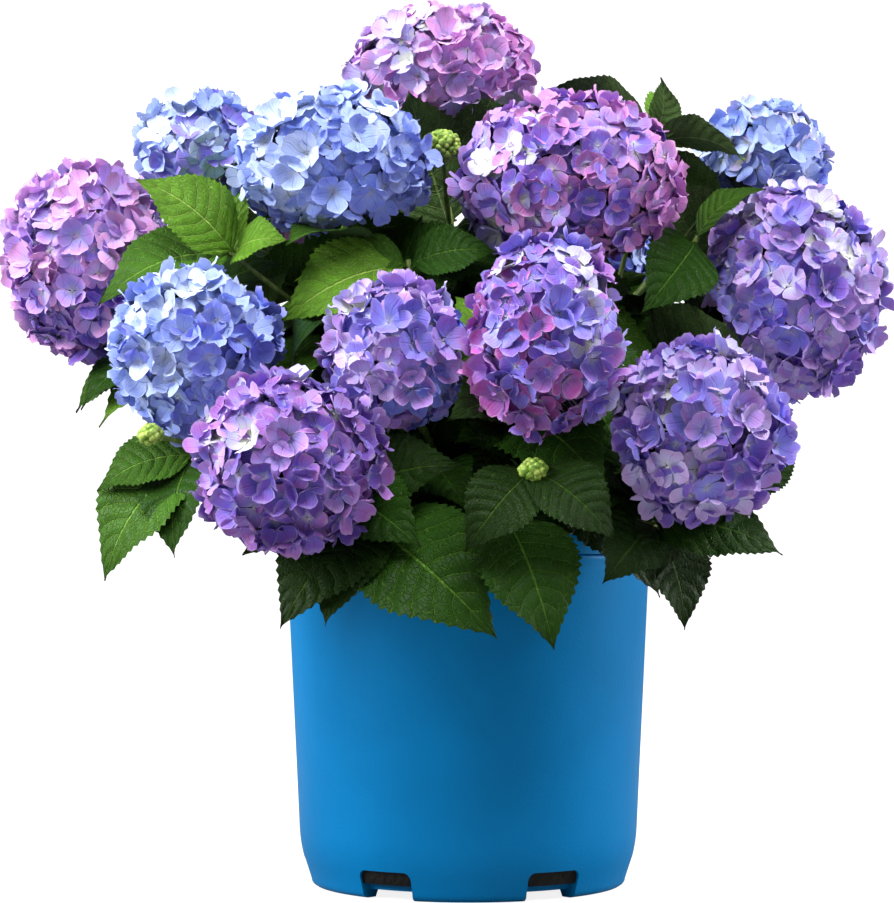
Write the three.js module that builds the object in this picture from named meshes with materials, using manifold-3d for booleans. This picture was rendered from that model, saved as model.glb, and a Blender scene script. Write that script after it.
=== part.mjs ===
// A mophead hydrangea shrub in its plastic nursery pot. Millimetres, +Z up.
// The plant is built round the pot's axis, with the floor at z = 0, and its viewer on the -Y side.
// At the end the whole plant is centred, so the origin is the middle of its footprint on the floor.
import * as THREE from 'three';
import { mergeVertices } from 'three/addons/utils/BufferGeometryUtils.js';
import Module from 'manifold-3d';

const wasm = await Module();
wasm.setup();

// ---- Driving dimensions -------------------------------------------------------------------

const CLEARANCE = 0.3;          // gap between neighbouring pieces
const SEED = 11;

const POT_HEIGHT = 213;
const POT_RIM_RADIUS = 117.5;
const POT_LOW_RADIUS = 108.2;   // at the top of the chamfer round the foot
const POT_CHAMFER_HEIGHT = 25;
const POT_FOOT_RADIUS = 101.7;
const FOOT_EDGE_ROUND = 2.5;
const CHAMFER_EASE_IN = 0.9;    // the chamfer meets the wall in a soft bend, this far in
const CHAMFER_EASE_DOWN = 7;    // and this far down
const POT_WALL = 2.5;
const RIM_ROUND = 4.5;          // the rolled rim
const RIM_CURL = 1.2;           // its inner edge curls in this far
const FOOT_WIDTH = 12;
const FOOT_DRAFT = 3;           // slope of the foot's inner side
const FLOOR_RAISE = 6;          // the pot's floor hangs this far above the ground
const FLOOR_THICKNESS = 3;
const DRAIN_COUNT = 6;
const DRAIN_WIDTH_DEG = 20;
const DRAIN_HEIGHT = 18;
const FLOOR_SKIN = 0.5;         // left under the pot's floor where a drain notch ends
const LIP_START_DEG = 15;       // raised lip on the rim, measured from the front towards +X
const LIP_END_DEG = 47;
const LIP_HEIGHT = 11;
const LIP_PROUD = 1.2;
const SOIL_BELOW_RIM = 20;
const SOIL_GAP = 0.7;           // lets the faceted fill clear the faceted wall
const POT_SIDES = 36;
const BLOCK_STEPS = 3;          // flats along the curved sides of a notch or the lip

const CROWN_RADIUS = 30;        // the woody knot that all canes spring from
const CROWN_SINK = 3;           // its centre lies this far below the soil's surface
const CROWN_SIDES = 24;
const CROWN_RINGS = 5;
const CANE_BASE_RADIUS = 3.7;
const CANE_TIP_RADIUS = 2.9;
const CANE_SHARE = 0.46;        // part of the way to the flower that is bare cane
const CANE_ARCH = 0.1;          // rise of a cane's arch, as a share of its length
const CANE_SIDES = 6;
const SHOOT_SIDES = 5;
const TWIG_SIDES = 3;
const LIMB_STEPS = 4;
const HEAD_GAP = 2;             // a shoot ends this far short of its flower head
const SHOOT_RADIUS = 2.5;
const PEDUNCLE_RADIUS = 2.1;
const PEDUNCLE_LEAD = 0.3;      // part of the way to the head's middle that its stalk runs straight on
const TWIG_RADIUS = 1.9;
const TWIG_TAPER = 0.8;
const BUD_FLATNESS = 0.75;      // height of a bud cluster against its width
const TWIG_SAG = 0.06;
const LEAF_THICKNESS = 1.6;
const LEAF_WIDTH_SHARE = 0.62;  // a leaf's width as a share of its length
const LEAF_ARCH = 0.16;         // rise of a leaf's middle above the line from heel to tip
const LEAF_FOLD = 0.14;         // rise of its margins above the midrib, as a share of half its width
const LEAF_ROWS = [[0.38, 1], [0.74, 0.62]];    // how far along, and how wide there
const LEAF_ROOT = 0.3;          // a leaf's heel is sunk this far past its stem's middle
const OUTWARD_LEAN = 0.9;       // how far leaves face outwards, against upwards
const TWIG_LEAF_SETBACK = 4;    // leaves spring from a twig this far before its end

const CORE_SHARE = 0.86;        // the dense heart of a flower head, against its full radius
const FLORET_RADIUS = 21.5;
const LARGE_HEAD = 105;         // smaller heads than this have smaller florets
const FLORET_CUP = 0.16;        // depth of its hollow and length of its stalk, against its radius
const FLORET_STALK = 0.7;
const FLORET_SPREAD = [0.9, 1.1];    // smallest and largest floret, against the usual one
const FLORETS_PER_HEAD = 16;
const FLORET_SEAT = 0.95;       // florets sit this far out, against the head's full radius
const STEM_SIDE = -0.66;        // no florets nearer the stem than this cosine

const LEAF_GREEN = 0x3f6b2b;
const STEM_GREEN = 0x6b7a3a;
const CANE_BROWN = 0x7a5a3c;
const SOIL_BROWN = 0x2c221a;
const POT_BLUE = 0x0a72c4;

// A flowering cane each: the middle of the flower head, its width, depth and height, its colour,
// and the leafy side twigs of its shoot. A twig runs to a point, from part of the way up the
// shoot, and ends in leaves (heading from +X, climb above level, length) or a green bud.
const FLOWERING_CANES = [
  { name: 'far_left', at: [-244, -20, 400], size: [113, 122, 134], colour: 0x9c6cc0,
    twigs: [{ from: 0.7, to: [-186, -27, 343], leaves: [[176, -14, 81], [-160, -31, 78]] }] },
  { name: 'upper_left', at: [-187, 100, 493], size: [90, 88, 84], colour: 0x7c7ad2 },
  { name: 'blue_top', at: [-86, -60, 458], size: [133, 116, 101], colour: 0x7d9fe6,
    twigs: [{ from: 0.15, to: [-149, -70, 400],
      leaves: [[-170, 37, 78], [108, 51, 60], [28, 49, 36], [-46, 6, 52], [-163, -21, 92]] }] },
  { name: 'crown_pink', at: [-18, 45, 536], size: [136, 116, 95], colour: 0xb774c4,
    twigs: [{ from: 0.45, to: [-17, -28, 474], bud: 13, leaves: [] }] },
  { name: 'rose_right', at: [64, -50, 448], size: [152, 132, 116], colour: 0x9a68bd },
  { name: 'upper_right', at: [206, 100, 486], size: [97, 92, 84], colour: 0x7b93e0,
    twigs: [{ from: 0.15, to: [123, 22, 488],
      leaves: [[-80, 59, 46], [-24, -14, 66], [164, 29, 82], [70, 20, 74]] }] },
  { name: 'far_right', at: [210, -10, 380], size: [127, 136, 146], colour: 0x7a68c4,
    twigs: [{ from: 0.1, to: [147, -32, 415], leaves: [[-133, -42, 75], [-13, 36, 56]] }] },
  { name: 'left_blue', at: [-166, -110, 336], size: [109, 108, 110], colour: 0x7b9be4,
    twigs: [{ from: 0.1, to: [-169, -112, 272],
      leaves: [[-175, -20, 64], [-168, -54, 94], [-103, -57, 74]] }] },
  { name: 'centre_lilac', at: [-44, -130, 332], size: [95, 94, 97], colour: 0x9378cc,
    twigs: [{ from: 0.1, to: [-38, -74, 395], leaves: [[0, 9, 56], [174, 1, 52], [-173, -25, 88]] },
      { from: 0.3, to: [-22, -112, 262], leaves: [[-69, -24, 60], [-130, -27, 58]] }] },
  { name: 'centre_violet', at: [43, -180, 339], size: [96, 98, 125], colour: 0x8c5cb4,
    twigs: [{ from: 0.1, to: [36, -188, 260], bud: 8, leaves: [[-156, -48, 64], [-15, -40, 64]] },
      { from: 0.05, to: [20, -164, 233], leaves: [[-47, -62, 88]] }] },
  { name: 'low_left', at: [-104, -190, 264], size: [119, 114, 109], colour: 0x7c5cb0,
    twigs: [{ from: 0.1, to: [-62, -146, 228],
      leaves: [[-32, -36, 112], [-143, -44, 86], [-118, -50, 76]] }] },
  { name: 'low_right', at: [137, -140, 285], size: [112, 112, 115], colour: 0x8670c8,
    twigs: [{ from: 0.15, to: [113, -108, 229],
      leaves: [[-51, -65, 70], [-9, -13, 82], [-126, -33, 66], [-88, -45, 46]] },
      { from: 0.3, to: [165, -75, 250], leaves: [[19, 29, 56]] }] },
  { name: 'rear_left', at: [-152, 120, 335], size: [112, 112, 110], colour: 0x7d8cd8 },
  { name: 'rear_middle', at: [-10, 186, 300], size: [118, 112, 112], colour: 0x8c6cc4 },
  { name: 'rear_right', at: [146, 130, 322], size: [116, 114, 112], colour: 0x9474c8 },
  { name: 'rear_upper_left', at: [-94, 160, 455], size: [106, 104, 100], colour: 0x9a74c4 },
  { name: 'rear_upper_right', at: [84, 164, 425], size: [110, 106, 106], colour: 0x7f86d6 },
];

// Leaf pairs up each shoot, as shares of its length, with the length of their leaves, and the range
// of their climb above level and of their size.
const LEAF_PAIRS = [{ share: 0.18, length: 94 }, { share: 0.56, length: 98 }, { share: 0.92, length: 90 }];
const PAIR_CLIMB = [-12, 28];
const PAIR_SPREAD = [0.85, 1.1];

// ---- Small helpers ------------------------------------------------------------------------

let seedState = SEED;

function random(low, high) {
  seedState = (seedState * 1664525 + 1013904223) % 4294967296;
  return low + (high - low) * seedState / 4294967296;
}

function degrees(angle) {
  return THREE.MathUtils.degToRad(angle);
}

// A closed solid from a geometry of any class.
function solid(geometry) {
  const bare = geometry.clone();
  bare.deleteAttribute('normal');
  bare.deleteAttribute('uv');
  const merged = mergeVertices(bare, 1e-4);
  return new wasm.Manifold(new wasm.Mesh({
    numProp: 3,
    vertProperties: new Float32Array(merged.attributes.position.array),
    triVerts: new Uint32Array(merged.index.array),
  }));
}

function joined(solids) {
  return solids.reduce((whole, next) => whole.add(next));
}

function geometryOf(body) {
  const mesh = body.getMesh();
  const geometry = new THREE.BufferGeometry();
  geometry.setAttribute('position', new THREE.BufferAttribute(new Float32Array(mesh.vertProperties), 3));
  geometry.setIndex(new THREE.BufferAttribute(new Uint32Array(mesh.triVerts), 1));
  geometry.computeVertexNormals();
  return geometry;
}

function piece(name, body, colour, roughness) {
  const material = new THREE.MeshStandardMaterial({ color: colour, roughness, metalness: 0 });
  const mesh = new THREE.Mesh(geometryOf(body), material);
  mesh.name = name;
  return mesh;
}

function closedGeometry(corners, faces) {
  const geometry = new THREE.BufferGeometry();
  geometry.setAttribute('position', new THREE.Float32BufferAttribute(corners.flatMap((c) => c.toArray()), 3));
  geometry.setIndex(faces.flat());
  return geometry;
}

// A tapering round limb along a curve, closed at both ends.
function limb(curve, startRadius, endRadius, sides, steps) {
  const frames = curve.computeFrenetFrames(steps, false);
  const corners = [];
  const faces = [];
  for (let i = 0; i <= steps; i += 1) {
    const middle = curve.getPointAt(i / steps);
    const radius = THREE.MathUtils.lerp(startRadius, endRadius, i / steps);
    for (let k = 0; k < sides; k += 1) {
      const turn = 2 * Math.PI * k / sides;
      corners.push(middle.clone()
        .addScaledVector(frames.normals[i], radius * Math.cos(turn))
        .addScaledVector(frames.binormals[i], radius * Math.sin(turn)));
    }
  }
  for (let i = 0; i < steps; i += 1) {
    for (let k = 0; k < sides; k += 1) {
      const a = i * sides + k;
      const b = i * sides + (k + 1) % sides;
      faces.push([a, b, b + sides], [a, b + sides, a + sides]);
    }
  }
  const last = steps * sides;
  for (let k = 1; k < sides - 1; k += 1) {
    faces.push([0, k + 1, k], [last, last + k, last + k + 1]);
  }
  return solid(closedGeometry(corners, faces));
}

// ---- The pot and what fills it ------------------------------------------------------------

// The pot's outer wall leans out evenly from the chamfer to the rim.
function outerRadius(z) {
  const rise = (z - POT_CHAMFER_HEIGHT) / (POT_HEIGHT - POT_CHAMFER_HEIGHT);
  return THREE.MathUtils.lerp(POT_LOW_RADIUS, POT_RIM_RADIUS, rise);
}

function innerRadius(z) {
  return outerRadius(Math.max(z, POT_CHAMFER_HEIGHT)) - POT_WALL
    - Math.max(0, POT_CHAMFER_HEIGHT - z) * (POT_LOW_RADIUS - POT_FOOT_RADIUS) / POT_CHAMFER_HEIGHT;
}

// A block over a stretch of the pot's circle, angles taken from the front (-Y) towards +X.
function ringBlock(innerEdge, outerEdge, fromDeg, toDeg, bottom, top) {
  const start = degrees(fromDeg - 90);
  const end = degrees(toDeg - 90);
  const outline = new THREE.Shape();
  outline.absarc(0, 0, outerEdge, start, end, false);
  outline.absarc(0, 0, innerEdge, end, start, true);
  const block = new THREE.ExtrudeGeometry(outline, {
    depth: top - bottom,
    bevelEnabled: false,
    curveSegments: BLOCK_STEPS,
  });
  block.translate(0, 0, bottom);
  return solid(block);
}

function potBody() {
  const floorTop = FLOOR_RAISE + FLOOR_THICKNESS;
  const rimCentre = POT_RIM_RADIUS - RIM_ROUND;
  const profile = [
    [0, FLOOR_RAISE],
    [POT_FOOT_RADIUS - FOOT_WIDTH - FOOT_DRAFT, FLOOR_RAISE],
    [POT_FOOT_RADIUS - FOOT_WIDTH, 0],
    [POT_FOOT_RADIUS - FOOT_EDGE_ROUND, 0],
    [POT_FOOT_RADIUS, FOOT_EDGE_ROUND],
    [POT_LOW_RADIUS - CHAMFER_EASE_IN, POT_CHAMFER_HEIGHT - CHAMFER_EASE_DOWN],
    [POT_LOW_RADIUS, POT_CHAMFER_HEIGHT],
    [outerRadius(POT_HEIGHT - RIM_ROUND), POT_HEIGHT - RIM_ROUND],
    [rimCentre + RIM_ROUND * Math.cos(degrees(45)), POT_HEIGHT - RIM_ROUND * (1 - Math.sin(degrees(45)))],
    [rimCentre, POT_HEIGHT],
    [rimCentre - RIM_CURL, POT_HEIGHT - RIM_ROUND / 2],
    [innerRadius(POT_HEIGHT - 2 * RIM_ROUND), POT_HEIGHT - 2 * RIM_ROUND],
    [innerRadius(POT_CHAMFER_HEIGHT), POT_CHAMFER_HEIGHT],
    [innerRadius(floorTop), floorTop],
    [0, floorTop],
  ].map(([x, y]) => new THREE.Vector2(x, y));
  const shell = new THREE.LatheGeometry(profile, POT_SIDES);
  shell.rotateX(Math.PI / 2);
  let pot = solid(shell);
  for (let i = 0; i < DRAIN_COUNT; i += 1) {
    const middle = (i + 0.5) * 360 / DRAIN_COUNT;
    const from = middle - DRAIN_WIDTH_DEG / 2;
    const to = middle + DRAIN_WIDTH_DEG / 2;
    const underFloor = ringBlock(POT_FOOT_RADIUS - 1.5 * FOOT_WIDTH, POT_RIM_RADIUS, from, to,
      -FLOOR_RAISE, FLOOR_RAISE - FLOOR_SKIN);
    const throughWall = ringBlock(POT_FOOT_RADIUS - FOOT_WIDTH / 2, POT_RIM_RADIUS, from, to,
      FLOOR_RAISE / 2, DRAIN_HEIGHT);
    pot = pot.subtract(underFloor).subtract(throughWall);
  }
  const lip = ringBlock(rimCentre - 1, POT_RIM_RADIUS + LIP_PROUD, LIP_START_DEG, LIP_END_DEG,
    POT_HEIGHT - LIP_PROUD, POT_HEIGHT + LIP_HEIGHT);
  return pot.add(lip);
}

const SOIL_TOP = POT_HEIGHT - SOIL_BELOW_RIM;

function soilBody() {
  const bottom = FLOOR_RAISE + FLOOR_THICKNESS + CLEARANCE;
  const profile = [
    [0, bottom],
    [innerRadius(bottom) - SOIL_GAP, bottom],
    [innerRadius(POT_CHAMFER_HEIGHT) - SOIL_GAP, POT_CHAMFER_HEIGHT],
    [innerRadius(SOIL_TOP) - SOIL_GAP, SOIL_TOP],
    [0, SOIL_TOP],
  ].map(([x, y]) => new THREE.Vector2(x, y));
  const fill = new THREE.LatheGeometry(profile, POT_SIDES);
  fill.rotateX(Math.PI / 2);
  return solid(fill);
}

const CROWN_CENTRE = new THREE.Vector3(0, 0, SOIL_TOP - CROWN_SINK);

function crownBody() {
  const bottom = SOIL_TOP + CLEARANCE;
  const startAngle = Math.asin((bottom - CROWN_CENTRE.z) / CROWN_RADIUS);
  const profile = [new THREE.Vector2(0, bottom)];
  for (let i = 0; i <= CROWN_RINGS; i += 1) {
    const angle = THREE.MathUtils.lerp(startAngle, Math.PI / 2, i / CROWN_RINGS);
    const radius = i === CROWN_RINGS ? 0 : CROWN_RADIUS * Math.cos(angle);
    profile.push(new THREE.Vector2(radius, CROWN_CENTRE.z + CROWN_RADIUS * Math.sin(angle)));
  }
  const dome = new THREE.LatheGeometry(profile, CROWN_SIDES);
  dome.rotateX(Math.PI / 2);
  return solid(dome);
}

// ---- Canes, shoots, flower heads ----------------------------------------------------------

// How far a flower head reaches from its middle in a direction.
function headReach(head, direction) {
  const [wide, deep, tall] = head.size;
  return 1 / Math.hypot(2 * direction.x / wide, 2 * direction.y / deep, 2 * direction.z / tall);
}

// The line that cane and shoot follow, from the woody crown to the underside of the flower head.
function stemCurve(head) {
  const middle = new THREE.Vector3(...head.at);
  const outward = middle.clone().sub(CROWN_CENTRE).normalize();
  const end = middle.clone().addScaledVector(outward, -headReach(head, outward) - HEAD_GAP);
  const bend = CROWN_CENTRE.clone().lerp(end, 0.5);
  bend.z += 2 * CANE_ARCH * CROWN_CENTRE.distanceTo(end);
  const firstWay = bend.clone().sub(CROWN_CENTRE).normalize();
  const start = CROWN_CENTRE.clone().addScaledVector(firstWay, CROWN_RADIUS + CLEARANCE);
  return new THREE.QuadraticBezierCurve3(start, bend, end);
}

// A stretch of a curve, as a curve of its own.
class Stretch extends THREE.Curve {
  constructor(whole, from, to) {
    super();
    this.whole = whole;
    this.from = from;
    this.to = to;
  }

  getPoint(t, target = new THREE.Vector3()) {
    return target.copy(this.whole.getPointAt(THREE.MathUtils.lerp(this.from, this.to, t)));
  }
}

// A leaf: pointed at both ends, widest below the middle, folded up along its midrib, arched, and
// with its face turned to the light, which is above and outside the bush.
function leafBody(base, heading, climb, length, extra) {
  const forward = new THREE.Vector3(
    Math.cos(climb) * Math.cos(heading), Math.cos(climb) * Math.sin(heading), Math.sin(climb));
  const light = new THREE.Vector3(base.x, base.y, 0).setLength(OUTWARD_LEAN);
  light.z = 1;
  const sideways = new THREE.Vector3().crossVectors(light, forward);
  if (sideways.length() < 0.2) sideways.set(-Math.sin(heading), Math.cos(heading), 0);
  sideways.normalize();
  const upward = new THREE.Vector3().crossVectors(forward, sideways);
  const halfWidth = length * LEAF_WIDTH_SHARE / 2;
  const point = (along, across, lift) => {
    const arch = LEAF_ARCH * length * (1 - (2 * along - 1) ** 2);
    return base.clone()
      .addScaledVector(forward, along * length - LEAF_ROOT)
      .addScaledVector(sideways, across)
      .addScaledVector(upward, arch + lift);
  };
  const half = LEAF_THICKNESS / 2 + extra;
  const fold = LEAF_FOLD * halfWidth;
  const corners = [point(0, 0, 0), point(1, 0, 0)];
  for (const [along, share] of LEAF_ROWS) {
    const reach = halfWidth * share + extra;
    corners.push(point(along, reach, fold), point(along, 0, half), point(along, -reach, fold),
      point(along, 0, -half));
  }
  const [heel, tip, leftA, topA, rightA, underA, leftB, topB, rightB, underB] = corners.keys();
  const faces = [
    [heel, rightA, topA], [heel, topA, leftA], [topA, rightA, rightB], [topA, rightB, topB],
    [leftA, topA, topB], [leftA, topB, leftB], [topB, rightB, tip], [leftB, topB, tip],
    [heel, underA, rightA], [heel, leftA, underA], [underA, rightB, rightA], [underA, underB, rightB],
    [leftA, underB, underA], [leftA, leftB, underB], [underB, tip, rightB], [leftB, tip, underB],
  ];
  return solid(closedGeometry(corners, faces));
}

// Everything placed so far, which new leaves and florets stay clear of.
const taken = [];

// A leaf may touch its own wood, and the leaves that spring from the same joint.
function isClear(body, owner, joint) {
  const box = body.boundingBox();
  return taken.every((other) => {
    if (other.owner === owner && (!other.joint || other.joint.equals(joint))) return true;
    const apart = [0, 1, 2].some((k) => box.min[k] > other.box.max[k] || box.max[k] < other.box.min[k]);
    return apart || body.intersect(other.body).volume() === 0;
  });
}

function take(body, owner, joint = null) {
  taken.push({ body, owner, joint, box: body.boundingBox() });
}

// One blossom: four sepals cupped round their middle, on a stalk that runs down into the core.
function floretBody(middle, outward, spin, radius) {
  const side = new THREE.Vector3(0, 0, 1).cross(outward);
  if (side.length() < 0.1) side.set(1, 0, 0);
  side.normalize();
  const other = new THREE.Vector3().crossVectors(outward, side);
  const corners = [
    middle.clone().addScaledVector(outward, -FLORET_CUP * radius),
    middle.clone().addScaledVector(outward, -FLORET_STALK * radius),
  ];
  for (let k = 0; k < 4; k += 1) {
    const turn = spin + k * Math.PI / 2;
    corners.push(middle.clone()
      .addScaledVector(side, radius * Math.cos(turn))
      .addScaledVector(other, radius * Math.sin(turn)));
  }
  const faces = [];
  for (let k = 0; k < 4; k += 1) {
    const a = 2 + k;
    const b = 2 + (k + 1) % 4;
    faces.push([0, a, b], [1, b, a]);
  }
  return solid(closedGeometry(corners, faces));
}

function roundedCore(radii, middle, detail) {
  const ball = new THREE.IcosahedronGeometry(1, detail);
  ball.scale(...radii);
  ball.translate(middle.x, middle.y, middle.z);
  return solid(ball);
}

function flowerHeadBody(head) {
  const middle = new THREE.Vector3(...head.at);
  const radii = head.size.map((width) => width / 2);
  const stem = stemCurve(head);
  const stemEnd = stem.getPointAt(1);
  const tangent = stem.getTangentAt(1);
  const stalkStart = stemEnd.clone().addScaledVector(tangent, CLEARANCE);
  const stalkBend = stalkStart.clone()
    .addScaledVector(tangent, PEDUNCLE_LEAD * stemEnd.distanceTo(middle));
  const stalkCurve = new THREE.QuadraticBezierCurve3(stalkStart, stalkBend, middle);
  const stalk = limb(stalkCurve, PEDUNCLE_RADIUS, PEDUNCLE_RADIUS, 5, 2);
  const stemWay = middle.clone().sub(stemEnd).normalize();
  const parts = [roundedCore(radii.map((r) => r * CORE_SHARE), middle, 1), stalk];
  const golden = Math.PI * (3 - Math.sqrt(5));
  for (let i = 0; i < FLORETS_PER_HEAD; i += 1) {
    const height = 1 - 2 * (i + 0.5) / FLORETS_PER_HEAD;
    const ring = Math.sqrt(1 - height * height);
    const way = new THREE.Vector3(ring * Math.cos(i * golden), ring * Math.sin(i * golden), height);
    const spin = random(0, Math.PI / 2);
    const radius = FLORET_RADIUS * random(...FLORET_SPREAD) * Math.min(1, head.size[0] / LARGE_HEAD);
    if (way.dot(stemWay) < STEM_SIDE) continue;
    const place = way.clone().multiply(new THREE.Vector3(...radii)).multiplyScalar(FLORET_SEAT).add(middle);
    const outward = new THREE.Vector3(way.x / radii[0], way.y / radii[1], way.z / radii[2]).normalize();
    const floret = floretBody(place, outward, spin, radius);
    if (isClear(floret, `flower_head_${head.name}`)) parts.push(floret);
  }
  return joined(parts);
}

// The turns and tilts that a leaf tries, in degrees, from its own first place outwards.
const LEAF_TRIES = [0, 12, -12, 24, -24, 38, -38, 54, -54, 70, -70]
  .flatMap((turn) => [0, 16, -16, -32, 32, 50].map((tilt) => [turn, tilt]));

const LEAF_SIZES = [1, 0.8, 0.62];
const LEAF_MARGIN = 0.5;

// Grows one leaf if there is room, and leaves it out if there is none.
function growLeaf(owner, leaves, base, heading, climb, length) {
  for (const share of LEAF_SIZES) {
    for (const [turn, tilt] of LEAF_TRIES) {
      const shape = [base, degrees(heading + turn), degrees(climb + tilt), length * share];
      if (isClear(leafBody(...shape, LEAF_MARGIN), owner, base)) {
        const leaf = leafBody(...shape, 0);
        leaves.push(leaf);
        take(leaf, owner, base);
        return;
      }
    }
  }
}

function twigCurve(shoot, twig) {
  const start = shoot.getPointAt(twig.from);
  const end = new THREE.Vector3(...twig.to);
  const bend = start.clone().lerp(end, 0.5);
  bend.z -= TWIG_SAG * start.distanceTo(end);
  return new THREE.QuadraticBezierCurve3(start, bend, end);
}

// ---- Assembly -----------------------------------------------------------------------------

const plant = new THREE.Group();
const pot = potBody();
const soil = soilBody();
const crown = crownBody();
plant.add(
  piece('pot', pot, POT_BLUE, 0.45),
  piece('soil', soil, SOIL_BROWN, 1),
  piece('root_crown', crown, CANE_BROWN, 0.9),
);
[pot, soil, crown].forEach((body) => take(body, 'pot'));

for (const head of FLOWERING_CANES) {
  const stem = stemCurve(head);
  const caneLine = new Stretch(stem, 0, CANE_SHARE);
  const cane = limb(caneLine, CANE_BASE_RADIUS, CANE_TIP_RADIUS, CANE_SIDES, LIMB_STEPS);
  take(cane, `cane_${head.name}`);
  plant.add(piece(`cane_${head.name}`, cane, CANE_BROWN, 0.85));
  const gap = CLEARANCE / stem.getLength();
  head.shoot = new Stretch(stem, CANE_SHARE + gap, 1);
  head.wood = [limb(head.shoot, SHOOT_RADIUS, PEDUNCLE_RADIUS, SHOOT_SIDES, LIMB_STEPS)];
  for (const twig of head.twigs ?? []) {
    const line = twigCurve(head.shoot, twig);
    head.wood.push(limb(line, TWIG_RADIUS, TWIG_RADIUS * TWIG_TAPER, TWIG_SIDES, LIMB_STEPS));
    if (twig.bud) {
      const middle = new THREE.Vector3(...twig.to);
      head.wood.push(roundedCore([twig.bud, twig.bud, twig.bud * BUD_FLATNESS], middle, 1));
    }
  }
  take(joined(head.wood), `leafy_shoot_${head.name}`);
}

for (const head of FLOWERING_CANES) {
  const flower = flowerHeadBody(head);
  take(flower, `flower_head_${head.name}`);
  plant.add(piece(`flower_head_${head.name}`, flower, head.colour, 0.8));
}

// The side twigs' own leaves come first, then the pairs up every shoot, each pair crosswise to
// the one below it.
for (const head of FLOWERING_CANES) {
  head.leaves = [];
  for (const twig of head.twigs ?? []) {
    const curve = twigCurve(head.shoot, twig);
    const base = curve.getPointAt(1 - TWIG_LEAF_SETBACK / curve.getLength());
    for (const [heading, climb, length] of twig.leaves) {
      growLeaf(`leafy_shoot_${head.name}`, head.leaves, base, heading, climb, length);
    }
  }
}
for (const head of FLOWERING_CANES) {
  const owner = `leafy_shoot_${head.name}`;
  const firstTurn = random(0, 180);
  LEAF_PAIRS.forEach(({ share, length }, pair) => {
    const base = head.shoot.getPointAt(share);
    for (const side of [0, 180]) {
      const heading = firstTurn + 90 * pair + side;
      const climb = random(...PAIR_CLIMB);
      growLeaf(owner, head.leaves, base, heading, climb, length * random(...PAIR_SPREAD));
    }
  });
  plant.add(piece(owner, joined([...head.wood, ...head.leaves]), LEAF_GREEN, 0.7));
}

const reach = new THREE.Box3().setFromObject(plant);
const footprint = reach.getCenter(new THREE.Vector3());
plant.position.set(-footprint.x, -footprint.y, 0);

export default plant;
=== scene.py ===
import math
from bisect import bisect_right

import bpy
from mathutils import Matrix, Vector, noise
from mathutils.bvhtree import BVHTree
from mathutils.kdtree import KDTree


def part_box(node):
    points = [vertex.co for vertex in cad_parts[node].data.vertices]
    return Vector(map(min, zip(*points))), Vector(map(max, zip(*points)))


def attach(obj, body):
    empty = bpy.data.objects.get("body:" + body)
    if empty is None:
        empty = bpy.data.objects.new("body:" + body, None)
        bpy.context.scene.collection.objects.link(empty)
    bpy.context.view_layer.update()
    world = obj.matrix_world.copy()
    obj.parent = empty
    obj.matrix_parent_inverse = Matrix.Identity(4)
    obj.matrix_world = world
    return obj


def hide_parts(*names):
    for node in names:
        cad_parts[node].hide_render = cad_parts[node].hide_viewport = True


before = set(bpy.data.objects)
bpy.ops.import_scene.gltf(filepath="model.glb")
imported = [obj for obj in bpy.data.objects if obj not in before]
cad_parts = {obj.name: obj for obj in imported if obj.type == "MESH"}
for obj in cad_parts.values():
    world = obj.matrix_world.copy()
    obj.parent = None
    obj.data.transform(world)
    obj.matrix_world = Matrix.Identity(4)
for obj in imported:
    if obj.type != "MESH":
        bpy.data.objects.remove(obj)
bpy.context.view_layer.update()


# ---- Pot --------------------------------------------------------------------------------------
# A round nursery pot, moulded in one piece in blue plastic with a soft sheen. Its thin wall leans
# out from a chamfered foot with six drain notches to a rolled rim, which carries a raised lip.

MM = 0.001
POT_HEIGHT = 213 * MM
POT_RIM_RADIUS = 117.5 * MM
POT_LOW_RADIUS = 108.2 * MM
POT_CHAMFER_HEIGHT = 25 * MM
POT_FOOT_RADIUS = 101.7 * MM
FOOT_EDGE_ROUND = 5 * MM
POT_WALL = 2.5 * MM
CORNER_RISE = 12 * MM           # the corner above the chamfer is eased from here down
CORNER_SHARE = 0.5              # and ends this far down the chamfer
RIM_ROUND = 4.5 * MM
RIM_CURL = 1.2 * MM             # the rolled rim's inner edge curls in this far
FOOT_WIDTH = 12 * MM
FOOT_DRAFT = 3 * MM
FLOOR_RAISE = 6 * MM
FLOOR_TOP = FLOOR_RAISE + 3 * MM
FLOOR_SKIN = 0.5 * MM           # left under the pot's floor where a drain notch ends
DRAIN_COUNT = 6
DRAIN_WIDTH_DEG = 20
DRAIN_HEIGHT = 18 * MM
DRAIN_CORNER = 5 * MM
SQUARE_CORNER = 0.1 * MM
LIP_START_DEG = 15
LIP_END_DEG = 47
LIP_HEIGHT = 11 * MM
LIP_PROUD = 1.2 * MM
LIP_BACK = 1 * MM               # behind the middle of the rolled rim
LIP_CORNER = 3 * MM
LATHE_STEPS = 180
BLOCK_STEPS = 24
EDGE_BEVEL = 0.5 * MM
EDGE_BEVEL_DEG = 48             # edges sharper than this are bevelled
EDGE_SHARP_DEG = 35             # and those sharper than this aren't shaded smooth

pot_low, pot_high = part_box("pot")
AXIS = Vector(((pot_low.x + pot_high.x) / 2, (pot_low.y + pot_high.y) / 2, 0))


def srgb(red, green, blue):
    """A colour given in the usual 0 to 255, as the linear colour that shaders take."""
    def linear(value):
        value /= 255
        return value / 12.92 if value <= 0.04045 else ((value + 0.055) / 1.055) ** 2.4
    return linear(red), linear(green), linear(blue), 1.0


def node(tree, kind, inputs=None, **settings):
    """Adds a node, with its settings, and with each input either linked or set."""
    made = tree.nodes.new(kind)
    for name, value in settings.items():
        setattr(made, name, value)
    for key, value in (inputs or {}).items():
        if isinstance(value, bpy.types.NodeSocket):
            tree.links.new(value, made.inputs[key])
        else:
            made.inputs[key].default_value = value
    return made


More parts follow.
